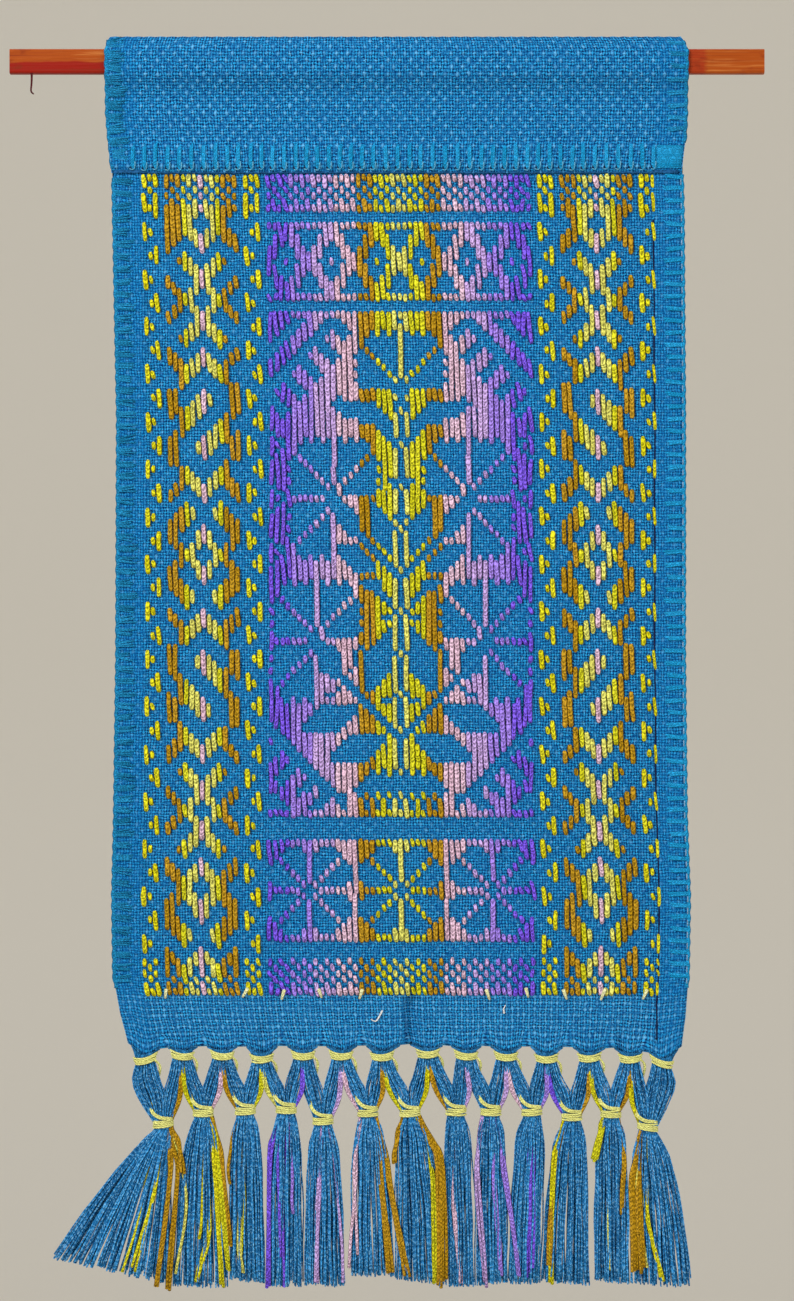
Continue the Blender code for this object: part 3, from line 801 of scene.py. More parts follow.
def combCells(away, row):
    # bare ground round the two combs of leaves along the field's outer corners
    bare = np.zeros(away.shape, bool)
    bare |= (np.abs(row - 26) <= away - 9) & (away >= 9) & (away <= 10)
    third, place = np.divmod(away - 11, 3)
    for k, (first, last, body) in enumerate(upperLeaf):
        here = (away >= 11) & (place == k)
        ground = (row >= 24) & (row < body + 3 * third - 4 * (away == 23))
        leaf = (row >= first + 3 * third) & (row <= last + 3 * third) & (away < 23)
        band = (away >= 14) & (row >= away + 8) & (row <= away + 10) | (away >= 19) & (row <= away + 4)
        bare |= here & ground & ~leaf & ~band
    third, place = np.divmod(23 - away, 3)
    count = row + (row > 103)
    for k, (first, last, body, end) in enumerate(lowerLeaf):
        here = (away >= 10) & (place == k) & (count >= 115 - away)
        leaf = (count >= first + 3 * third) & (count <= last + 3 * third)
        behind = (count >= body + 3 * third) & (count <= end + 3 * third)
        bare |= here & ~leaf & ~behind
    return bare


def chartField(grid):
    # a flowering stem in an urn, mirrored about column 0; the ground is yarn and the figures are bare cloth
    first, last = draft["field"]
    half = draft["halfField"]
    column, row = np.meshgrid(np.arange(-half, half + 1), np.arange(first, last + 1))
    away, middle = np.abs(column), row + 0.5
    slant = away + row

    def block(near, far, high, low):
        return (away >= near) & (away <= far) & (row >= high) & (row <= low)

    bare = combCells(away, row)
    for centreAway, centreRow in fieldRosettes:
        dk, dr = away - centreAway, row - centreRow
        halfFlower = dr < 0 if centreAway == 0 else (dk >= 0) | (dr <= 0)
        bare |= rosetteCells(dk, dr) & halfFlower
    for outline in fieldOutlines:
        inside = np.zeros(column.shape, bool)
        for (a, r), (b, s) in zip(outline, outline[1:] + outline[:1]):
            crosses = (middle < r) != (middle < s)
            inside ^= crosses & (away < a + (b - a) * (middle - r) / ((s - r) or 1.0))
        bare |= inside
    # the cup under the first flower
    cupTop, cupFoot = np.maximum(38, 43 - away), np.maximum(41 - away // 8, 46 - away)
    bare |= block(2, 11, cupTop, cupFoot) | block(11, 11, 37, 37) | block(12, 12, 38, 38)
    bare &= ~block(11, 11, 40, 40)
    bare |= (away == 1) & np.isin(row, (35, 36, 38, 39, 44, 45, 51, 57))
    # the stalks of the side flowers
    bare |= (slant >= 67) & (slant <= 68) & (away <= 7) & (row >= 55)
    bare |= (slant >= 65) & (slant <= 69) & block(8, 11, 54, last)
    bare &= ~(block(8, 11, 59, 61) & (slant >= 69 + (away > 8)))
    bare &= ~((slant == 69) & (away >= 4) & (away <= 7))
    bare |= (slant >= 94) & (slant <= 95) & (away <= 11) & (row <= 95)
    for edges in ((8, 8, 80, 82), (9, 9, 83, 83), (7, 7, 79, 79), (11, 11, 86, 86), (12, 13, 87, 87)):
        bare |= block(*edges)
    # the stem and the urn's foot
    bare |= block(0, 0, 34, 99)
    for node in fieldNodes:
        bare |= (away == 1) & (row == node) & (row > 45) & (row < 100)
        bare &= ~((away == 0) & (row == node))
    bare |= block(2, 3, 74, 74) | block(2, 3, 88, 88) | block(2, 2, 51, 51)
    bare |= (away % 2 == 1) & (block(0, 5, 100, 100) | block(0, 7, 104, 104))
    bare |= (away % 2 == 0) & block(0, 6, 105, 106)
    for outer, rows in looseBinding.items():
        bare |= block(outer, outer, 43, 65) & np.isin((row - 45) % 9, [step % 9 for step in rows])
    bare[[0, -1], :] = False
    bare |= block(0, 0, 24, 24)
    grid[first : last + 1, draft["columns"] - half : draft["columns"] + half + 1] = ~bare


# Colour of a column by its distance from the middle of its border or of the field
borderYarns = ((0, "pink"), (2, "light"), (3, "green"), (6, "mustard"), (10, "bright"))
fieldYarns = ((1, "light"), (4, "green"), (7, "mustard"), (11, "pink"), (15, "lilac"), (19, "softViolet"),
              (24, "violet"))


def yarnOfColumn(column):
    away, yarns = abs(column), fieldYarns
    if away > draft["halfField"] + 1:
        away, yarns = abs(away - draft["borderMiddle"]), borderYarns
    return next(name for limit, name in yarns if away <= limit)


def floatsOf(grid):
    # every float as column, first row and number of rows; long ones are tied down on the way
    found = []
    shuffle = random.Random(11)
    for index in range(grid.shape[1]):
        row = 0
        while row < grid.shape[0]:
            if not grid[row, index]:
                row += 1
                continue
            end = row
            while end < grid.shape[0] and grid[end, index]:
                end += 1
            while end - row > draft["longest"] + 2:
                piece = shuffle.randint(draft["longest"] - 2, draft["longest"])
                found.append((index - draft["columns"], row, piece))
                row += piece
            found.append((index - draft["columns"], row, end - row))
            row = end
    return found


floatYarn = {
    "halfWidth": 1.18,
    "halfDepth": 0.85,
    "lift": 0.5,  # middle of the yarn over the cloth's front
    "bow": 0.28,
    "sides": 6,
    "endLap": 0.12,  # a float reaches this far past its rows
    "lean": 0.22,  # the lower end lies this far to the right, the upper end to the left
    "backLift": 0.45,  # middle of the yarn behind the cloth's back
    "backSize": (0.92, 0.8),  # its width and depth there, beside those on the front
}


def layBackFloat(pile, column, first, rows, shuffle):
    # between its floats on the front, a column's yarn lies on the back
    nominal = draft["middle"] + column * cloth["thread"]
    top = draft["top"] - first * cloth["pick"] + shuffle.uniform(-0.2, 0.2)
    length = rows * cloth["pick"] + shuffle.uniform(-0.2, 0.2)
    places = [0.0, 0.7, length - 0.7, length]
    if length > 8:
        places[2:2] = list(np.linspace(0.7, length - 0.7, 2 + int(length / 8)))[1:-1]
    path = []
    for along in places:
        z = top - along
        rise = floatYarn["backLift"] * (1.0 if 0.0 < along < length else -0.4)
        x = acrossCloth(nominal, z)
        path.append((x, frontOf(x, z) + cloth["thickness"] + rise, z))
    ends = np.array([0.4] + [1.0] * (len(places) - 2) + [0.4])
    wide, deep = floatYarn["backSize"]
    layYarn(pile, path, floatYarn["halfWidth"] * wide * ends, floatYarn["halfDepth"] * deep * ends, 4,
            back=(0.0, -1.0, 0.0), tone=shuffle.random(), taper=0.1)


def layFloat(pile, column, first, rows, shuffle):
    nominal = draft["middle"] + column * cloth["thread"]
    top = draft["top"] - first * cloth["pick"] + floatYarn["endLap"] + shuffle.uniform(-0.3, 0.3)
    length = rows * cloth["pick"] + 2 * floatYarn["endLap"] + shuffle.uniform(-0.3, 0.3)
    ends = [0.0, 0.35, 0.95, 1.6] if length > 3.6 else [0.0, 0.35, 0.95]
    inner = list(np.linspace(1.6, length - 1.6, 2 + int((length - 3.2) / 4.5)))[1:-1] if length > 5 else []
    places = ends + inner + [length - e for e in ends[::-1]]
    loose = draft["loose"] <= abs(column) <= draft["halfField"]
    lean = floatYarn["lean"] + shuffle.uniform(-0.25, 0.25) * (2.6 if loose else 1.0)
    sway = shuffle.uniform(-0.18, 0.18) * (2.5 if loose else 1.0)
    size = shuffle.uniform(0.86, 1.06) * (0.9 if rows == 1 or loose else 1.0)
    if column == draft["columns"]:
        # the turned hem covers half of the last column
        size *= 0.66
        nominal += 0.1
    path, wide, deep = [], [], []
    for along in places:
        # from the top to the foot of the float
        t = along / length
        z = top - along
        x = acrossCloth(nominal, z) + lean * (t - 0.5) * 2 + sway * math.sin(t * math.pi)
        fromEnd = min(along, length - along)
        body = math.sqrt(clamp(1 - (1 - min(1.0, (fromEnd + 0.2) / 1.5)) ** 2))
        bow = floatYarn["bow"] * min(1.0, rows / 4) * math.sin(t * math.pi)
        path.append((x, frontOf(x, z) - (floatYarn["lift"] * body - (1 - body) * 0.4 + bow), z))
        wide.append(floatYarn["halfWidth"] * size * (0.3 + 0.7 * body))
        deep.append(floatYarn["halfDepth"] * (0.35 + 0.65 * body))
    layYarn(pile, path, np.array(wide), np.array(deep), floatYarn["sides"], tone=shuffle.random(), taper=0.1)


def makePattern():
    grid = np.zeros((draft["rows"], 2 * draft["columns"] + 1), bool)
    for side in (-1, 1):
        chartBorder(grid, side)
    chartChecker(grid)
    chartBands(grid)
    chartField(grid)
    piles = {name: newPile() for name in yarnColors}
    shuffle = random.Random(5)
    floats = floatsOf(grid)
    for column, first, rows in floats:
        layFloat(piles[yarnOfColumn(column)], column, first, rows, shuffle)
    behind = np.vstack([~grid, np.ones((draft["footRows"], grid.shape[1]), bool)])
    for empty in draft["emptyColumns"]:
        behind[:, [draft["columns"] - empty, draft["columns"] + empty]] = False
    for column, first, rows in floatsOf(behind):
        layBackFloat(piles[yarnOfColumn(column)], column, first, rows, shuffle)
    for name, pile in piles.items():
        finishPile(pile, f"pattern_yarn_{name}", yarnMaterials[name])
    print("pattern woven,", len(floats), "floats")


evenDyes = ("softViolet", "violet")  # these yarns vary little in their shade
yarnMaterials = {
    name: yarnMaterial(f"{name} yarn", color, 1.9, 0.3, dots=0.36, spread=0.98 if name in evenDyes else 0.8)
    for name, color in yarnColors.items()
}
makePattern()


# Sewing: blanket stitches along the heading's lower edge and along both side edges
sewing = {
    "thread": paint(0, 166, 230),
    "mutedThread": paint(0, 160, 224),
    # painted highlight: the pale colour of the stitches' loops
    "loopHighlight": paint(116, 204, 255),
    # the turned edge's blue darkened as painted shade under the heading
    "turnedEdgeInShade": paint(0, 88, 142),
    # painted shadow: the colour of dark strands laid in holes and gaps
    "paintedShadow": paint(0, 20, 72),
    "wornEdge": paint(150, 196, 236),
    "footPitch": 4.87,  # from one blanket stitch to the next along the heading
    "footTop": -34.4,
    "footEnd": -44.0,
    "barHalf": 0.72,
    "loopHalf": 0.27,
    "rollHeight": -46.0,
    "satinTop": -35.4,
    "satinPitch": 0.62,
    "satinRows": 15,
    "sidePitch": 5.05,
    "sideReach": (8.6, 1.4),  # a side stitch runs between these distances from the edge
    "sideEnd": -388.0,
    # strands of one side stitch, as places along the edge
    "pairStrands": (-0.5, 0.5),
    "wornStrands": (-1.3, -0.45, 0.45, 1.3),
    "flapStrands": (-2.1, -1.25, -0.4, 0.4, 1.25, 2.1),
    "seamRun": (-66.0, -413.0),
    "seamHalf": 0.36,
}


def overHeading(points, count, over):
    # a smooth path over the heading's front, through places across and heights
    path = softCurve([(x, 0, z) for x, z in points], count)
    path[:, 1] = [stitchedFront(x, z) - over for x, _, z in path]
    return path


def makeBlanketStitches(pile, shuffle):
    bar, loop = sewing["barHalf"], sewing["loopHalf"]
    hooks, holeShadows = newPile(), newPile()
    x, right = readEdge(flapEdges, -40, 1) + 9.5, readEdge(flapEdges, -40, 2) - 12.5
    while x < right:
        top = sewing["footTop"] + shuffle.uniform(-0.9, 0.5)
        foot = sewing["footEnd"] + shuffle.uniform(-0.25, 0.25)
        lean = shuffle.uniform(-0.3, 0.3)
        for strand in (-0.5, 0.5):
            stitch = overHeading(
                ((x + lean + strand * bar, top + strand * 0.5), (x + strand * bar, mix(top, foot, 0.5)),
                 (x + strand * bar * 0.9, foot + 0.6), (x + 0.5 + strand * 0.3, foot - 0.9)), 9, 0.34)
            stitch[0, 1] += 0.8
            layYarn(pile, stitch, bar * 0.74, 0.5, tone=shuffle.random(), taper=0.2)
        # at the stitch's foot its loop hooks round to the left, beside the needle's hole; the loop is painted
        # pale as a highlight
        reach = shuffle.uniform(0.7, 1.4)
        hook = overHeading(((x + 1.0, foot + 1.9), (x + 0.9, foot + 0.3), (x + 0.6, foot - 0.7),
                            (x - 0.1, foot - 1.2), (x - reach, foot - 1.0)), 10, 0.6)
        layYarn(hooks, hook, loop, loop, tone=shuffle.random(), taper=0.2)
        # painted shadow: a dark strand sunk beside each loop, where the needle's hole lies in shade
        deep = stitchedFront(x, foot) - 0.28
        hole = [(x - 0.5 - t * 0.3, deep, foot + 0.4 - t * 1.1) for t in (0.0, 0.5, 1.0)]
        layYarn(holeShadows, hole, 0.42, 0.22, tone=shuffle.random(), taper=0.2)
        x += sewing["footPitch"] + shuffle.uniform(-0.4, 0.4)
    hookHighlight = yarnMaterial("loops of sewing thread with painted highlight", sewing["loopHighlight"], depth=0.5, edge=0.1)
    holeShadow = yarnMaterial("painted shadow beside the stitches", sewing["paintedShadow"])
    finishPile(hooks, "heading_loop_highlights", hookHighlight)
    finishPile(holeShadows, "heading_hole_shadows", holeShadow)


def makeHeadingRoll():
    # the heading's lower edge is turned under in a soft roll, coloured dark as painted shade under the edge
    level = sewing["rollHeight"]
    left, right = readEdge(clothEdges, level, 1), readEdge(clothEdges, level, 2)
    roll = []
    for x in np.arange(readEdge(flapEdges, -45, 1) + 0.6, readEdge(flapEdges, -45, 2), 2.4):
        raised = cloth["hemRaise"] * hemShare(x, left, right, level)
        roll.append((x, frontOf(x, level) - raised - 0.1, level + 0.05 + 0.12 * math.sin(x * 0.9)))
    pile = newPile()
    layYarn(pile, roll, 0.8, 0.5, 8)
    turned = yarnMaterial("turned edge of the heading in painted shade", sewing["turnedEdgeInShade"], 2.4, 0.55, 0.2, edge=0.2)
    finishPile(pile, "heading_roll", turned)


def laySatinCorner(pile, shuffle):
    # the heading's right corner is filled with satin stitches
    for n in range(sewing["satinRows"]):
        z = sewing["satinTop"] - n * sewing["satinPitch"]
        edge = readEdge(flapEdges, z, 2)
        start = 12.2 + shuffle.uniform(-0.7, 0.7)
        front = stitchedFront(edge - 5, z) - 0.25
        stitch = [(edge - mix(start, 0.6, t), front + (0.5 if t in (0.0, 1.0) else 0.0),
                   z + shuffle.uniform(-0.12, 0.12)) for t in np.linspace(0, 1, 6)]
        layYarn(pile, stitch, 0.45, 0.4, tone=shuffle.random(), taper=0.2)


def makeSeamShadow():
    # painted shadow: a dark thread laid in the gap along the right hem's turned edge, where its shade falls
    seam = []
    for z in np.arange(*sewing["seamRun"], -3.0):
        x = readEdge(clothEdges, z, 2) - hemWidthAt(z) + 0.1 + 0.14 * math.sin(z / 9.0)
        seam.append((x, frontOf(x, z) - 0.5 - 0.1 * math.sin(z / 6.5), z))
    pile = newPile()
    layYarn(pile, seam, sewing["seamHalf"], sewing["seamHalf"])
    finishPile(pile, "seam_shadow", yarnMaterial("painted shadow along the hem's turned edge", sewing["paintedShadow"]))


def makeSewing():
    shuffle = random.Random(21)
    pile = newPile()
    makeBlanketStitches(pile, shuffle)
    makeHeadingRoll()
    laySatinCorner(pile, shuffle)
    finishPile(pile, "heading_stitches", stitchThread)
    flecks = newPile()
    for name, thread, column, edges, high, low in (
        ("heading_left_stitches", mutedThread, 1, flapEdges, 7.5, -43.5),
        ("heading_right_stitches", mutedThread, 2, flapEdges, 7.5, -33.0),
        ("left_edge_stitches", mutedThread, 1, clothEdges, -50.0, sewing["sideEnd"]),
        ("right_edge_stitches", stitchThread, 2, clothEdges, -48.0, sewing["sideEnd"]),
    ):
        pile = newPile()
        layEdgeStitches(pile, flecks, column, edges, high, low, shuffle)
        finishPile(pile, name, thread)
    finishPile(flecks, "worn_edge", yarnMaterial("worn light thread", sewing["wornEdge"], edge=0.1))
    makeSeamShadow()


def layEdgeStitches(pile, flecks, column, edges, high, low, shuffle):
    # the right edge has clear pairs of strands, the left edge a worn, fuzzy comb of finer ones
    onFlap = edges is flapEdges
    inward = 1 if column == 1 else -1
    reach, near = sewing["sideReach"]
    half = 0.56 if column == 2 else 0.42
    strands = sewing["pairStrands"]
    if column == 1:
        strands = sewing["flapStrands"] if onFlap else sewing["wornStrands"]

    def faceAt(px, pz):
        if onFlap:
            return foldFront(pz) + hangWave(px, pz)
        return frontOf(px, pz) - cloth["hemRaise"]

    z = high
    while z > low:
        edge = readEdge(edges, z, column)
        start = reach + shuffle.uniform(-1.4, 0.4)
        slope = shuffle.uniform(-0.4, 0.4)
        for strand in strands:
            own = start + (strand * 0.6 if column == 2 else shuffle.uniform(-2.0, 0.6))
            jitter = shuffle.uniform(-0.5, 0.5) * (column == 1)
            stitch = []
            for t in np.linspace(0, 1, 6):
                px = edge + inward * mix(own, near, t)
                pz = z + slope * (t - 0.5) * 2 + strand * (1 - 0.3 * t) + jitter * (1 - t)
                stitch.append((px, faceAt(px, pz) - 0.26 + (0.6 if t == 0 else 0.0), pz))
            stitch.append((edge - inward * 0.2, stitch[-1][1] + 0.7, stitch[-1][2]))
            layYarn(pile, stitch, half, 0.4, 6 if column == 2 else 4, tone=shuffle.random(), taper=0.15)
        z -= sewing["sidePitch"] * shuffle.uniform(0.92, 1.08)
        if column == 2 and not onFlap:
            # between the stitches the worn edge shows light
            fleck = [(edge + inward * 0.9, faceAt(edge + inward, pz) - 0.42, pz)
                     for pz in (z + 3.6, z + 2.5, z + 1.4 + shuffle.uniform(-0.3, 0.3))]
            layYarn(flecks, fleck, 0.26, 0.2, tone=shuffle.random(), taper=0.2)
    # the stitches' loops lie along the edge
    front, back = [], []
    for pz in np.arange(high + 1.0, low - 1.5, -0.9):
        edge = readEdge(edges, pz, column)
        wave = 0.2 * math.sin(pz * 2 * math.pi / sewing["sidePitch"])
        px = edge + inward * (0.5 + wave)
        front.append((px, faceAt(edge + inward, pz) + 0.2, pz))
        back.append((px - inward * 0.5, front[-1][1] + 0.7, pz))
    layYarn(pile, front, 0.7, 0.55, tone=0.4)
    layYarn(pile, back, 0.5, 0.6, tone=0.1)


def stitchedFront(x, z):
    # front face of the heading, raised by its stitches
    return foldFront(z) - stitchRelief(z) + cloth["thickness"] / 2 * edgeThinning(z) + hangWave(x, z)


def foldFront(z):
    # depth of the heading's front face, over the rod too
    depths, heights = zip(*sorted(headingSection[: cloth["frontPoints"]], key=lambda point: point[1]))
    return float(np.interp(z, heights, depths)) - cloth["thickness"] / 2


stitchThread = yarnMaterial("sewing thread", sewing["thread"], depth=0.4, edge=0.4, spread=0.75)
mutedThread = yarnMaterial("worn sewing thread", sewing["mutedThread"], depth=0.2, edge=0.25, spread=0.45)
makeSewing()
print("sewing done")


# Fringe: bundles of the cloth's own threads, parted into legs and tied again, then loose tassels
fringe = {
    "netDepth": 2.0,
    "bundleHalfWidth": 3.8,
    "bundleHalfDepth": 1.8,
    "bindingHeight": 3.0,
    "bindingTurns": 4,
    "threadHalf": 0.42,
    "neckThreads": 26,
    "neckHalf": 0.36,
    "legThreads": 44,
    "legSpread": (3.1, 4.9),  # bulge of a leg, and of the single leg at each end
    # the two bends of a leg: share of its way across and down, bulge, share of its lean, depth
    "legBends": ((0.2, 0.3, 0.55, 1.0, 1.9), (0.66, 0.62, 0.62, 0.6, 2.0)),
    "strandHalf": 0.34,
    "tasselThreads": 96,
    "fanThreads": 60,  # more threads in the first tassel, which lies in a fan
    "fanReach": 4.0,
    "tasselDepth": 1.4,
    "tasselHalfDepth": 2.6,
    "coloredHalf": (0.7, 0.6),
    "legYarnHalf": (0.62, 0.55),
    "crimp": 0.22,
    "blue": paint(46, 166, 252),
    "blueShadow": paint(0, 42, 104),
    "blueGlint": paint(156, 214, 250),
    "neckBlue": paint(40, 140, 206),
    "paleThread": paint(252, 250, 144),
}


def footOf(name):
    # where a tassel's strands end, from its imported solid
    points = solidPoints(name)
    ends = points[points[:, 2] < points[:, 2].min() + 16.0]
    left, right = ends[:, 0].min(), ends[:, 0].max()
    zLeft = float(ends[ends[:, 0] < left + 4.0][:, 2].mean())
    zRight = float(ends[ends[:, 0] > right - 4.0][:, 2].mean())
    return {"left": float(left), "right": float(right), "zLeft": zLeft, "zRight": zRight}


tasselFeet = [footOf(f"tassel_{i:02d}") for i in range(1, 14)]


def bundlePoint(knot, u, w, dz, grow=1.0):
    # u and w go from -1 to 1 across and through a bundle
    x = knot["x"] + u * fringe["bundleHalfWidth"] * grow
    y = fringe["netDepth"] + w * fringe["bundleHalfDepth"] * grow
    return x, y, knot["z"] + dz + (x - knot["x"]) * knot["slope"]


def bundlePlaces(count, shuffle):
    # even places over a bundle's round section, a little shaken
    goldenAngle = 2.39996
    places = []
    for n in range(count):
        far = math.sqrt((n + 0.5) / count)
        angle = n * goldenAngle + shuffle.uniform(-0.2, 0.2)
        places.append((far * math.cos(angle), far * math.sin(angle)))
    return places


def crimped(path, shuffle, waves, amount=None):
    # a small wave along a strand that was pulled out of the weave
    amount = fringe["crimp"] if amount is None else amount
    share = np.linspace(0, 1, len(path))
    fade = np.sin(np.clip(share * 3, 0, 1) * math.pi / 2)
    shifted = np.array(path)
    start = shuffle.uniform(0, 2 * math.pi)
    shifted[:, 0] += amount * fade * np.sin(start + share * waves * 2 * math.pi)
    shifted[:, 1] += 0.6 * amount * fade * np.cos(start + share * waves * 2 * math.pi)
    return shifted


def makeNecks(material):
    # from the cloth's foot the threads draw together into the upper bundles, with small arches between
    shuffle = random.Random(29)
    pile = newPile()
    footLeft, footRight = clothEdges[0][1] + 1.0, clothEdges[0][2] - 1.0
    middles = [(a["x"] + b["x"]) / 2 for a, b in zip(upperKnots, upperKnots[1:])]
    bounds = [footLeft] + middles + [footRight]
    for knot, left, right in zip(upperKnots, bounds, bounds[1:]):
        for layer in (-1, 1):
            for n in range(fringe["neckThreads"]):
                u = -1 + 2 * (n + 0.5) / fringe["neckThreads"]
                x = mix(left + 0.3, right - 0.3, (u + 1) / 2) + shuffle.uniform(-0.15, 0.15)
                atX, atZ = gathered(x, footHeight(x))
                top = (atX, frontOf(atX, atZ) + 0.7 + layer * 0.4, atZ + 0.9)
                edge = (atX, top[1], atZ - 0.4)
                w = layer * math.sqrt(1 - u * u) * 0.85
                knee = bundlePoint(knot, u * 1.12, w, 2.2)
                inside = bundlePoint(knot, u * 0.92, w, 0.0)
                bend = [mix(edge[k], knee[k], share) for k, share in enumerate((0.55, 0.5, 0.45))]
                path = softCurve([top, edge, bend, knee, inside], 8)
                path[:, 1] += shuffle.uniform(-0.25, 0.25)
                layYarn(pile, path, fringe["neckHalf"], fringe["neckHalf"], 4, tone=shuffle.random())
    finishPile(pile, "fringe_necks", material)


def makeLegs(material):
    shuffle = random.Random(31)
    pile = newPile()
    last = len(upperKnots) - 1
    for i, upper in enumerate(upperKnots):
        for side in (-1, 1):
            j = i - 1 if side == -1 else i
            if j < 0 or j >= len(lowerKnots):
                continue
            outer = (i == 0 and side == 1) or (i == last and side == -1)
            lower = lowerKnots[j]
            spread = fringe["legSpread"][outer]
            for u, w in bundlePlaces(fringe["legThreads"] * (2 if outer else 1), shuffle):
                uTop = u * 0.95 if outer else u * 0.55 + side * 0.42
                uFoot = u * 0.55 - side * 0.42
                top = bundlePoint(upper, uTop, w * 0.85, 0)
                foot = bundlePoint(lower, uFoot, w * 0.85, 0)
                lean = -0.9 * side if outer else -0.35 * side
                bends = [
                    (mix(top[0], foot[0], across) + u * spread * bulge + lean * sway,
                     fringe["netDepth"] + w * deep, mix(top[2], foot[2], down))
                    for across, down, bulge, sway, deep in fringe["legBends"]
                ]
                path = softCurve([top, *bends, foot, (foot[0], foot[1], foot[2] - 2.0)], 10)
                path = crimped(path, shuffle, shuffle.uniform(1.5, 2.5), 0.2)
                layYarn(pile, path, fringe["strandHalf"], fringe["strandHalf"], 4, tone=shuffle.random())
    piece = finishPile(pile, "fringe_legs", material)
    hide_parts("fringe_net")


def makeTassels(material):
    shuffle = random.Random(47)
    for i, (knot, foot) in enumerate(zip(lowerKnots, tasselFeet), start=1):
        pile = newPile()
        straight = 0.0 if i == 1 else 1.0  # the first tassel's strands lie in a straight fan
        if i == 1:
            foot = dict(foot, left=foot["left"] - fringe["fanReach"])
        strandCount = fringe["tasselThreads"] + (fringe["fanThreads"] if i == 1 else 0)
        for u, w in bundlePlaces(strandCount, shuffle):
            # the round bundle's threads spread evenly over the tassel's width
            share = 0.5 + (u * math.sqrt(max(0, 1 - u * u)) + math.asin(max(-1, min(1, u)))) / math.pi
            share = clamp(share + shuffle.uniform(-0.05, 0.05))
            endX = mix(foot["left"], foot["right"], share)
            endZ = mix(foot["zLeft"], foot["zRight"], share) + abs(shuffle.gauss(0, 1.8)) - 1.0
            endY = fringe["tasselDepth"] + w * fringe["tasselHalfDepth"]
            inside = bundlePoint(knot, u * 0.8, w * 0.8, 1.0)
            head = bundlePoint(knot, u, w, -1.8, 0.92)
            a = (mix(head[0], endX, 0.2 + 0.08 * straight) + u * 1.7 * straight, mix(head[1], endY, 0.5),
                 mix(head[2], endZ, 0.16))
            b = (mix(head[0], endX, 0.6 + 0.1 * straight) + u * 0.9 * straight + shuffle.uniform(-0.7, 0.7),
                 endY + shuffle.uniform(-0.3, 0.3), mix(head[2], endZ, 0.55))
            path = softCurve([inside, head, a, b, (endX, endY, endZ)], 17)
            path = crimped(path, shuffle, shuffle.uniform(2.5, 4.5))
            half = fringe["strandHalf"] * np.linspace(1.0, 1.25 if i > 1 else 1.5, len(path))
            layYarn(pile, path, half, half, 4, tone=shuffle.random(), taper=0.3)
        piece = finishPile(pile, f"tassel_threads_{i:02d}", material)
        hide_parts(f"tassel_{i:02d}")


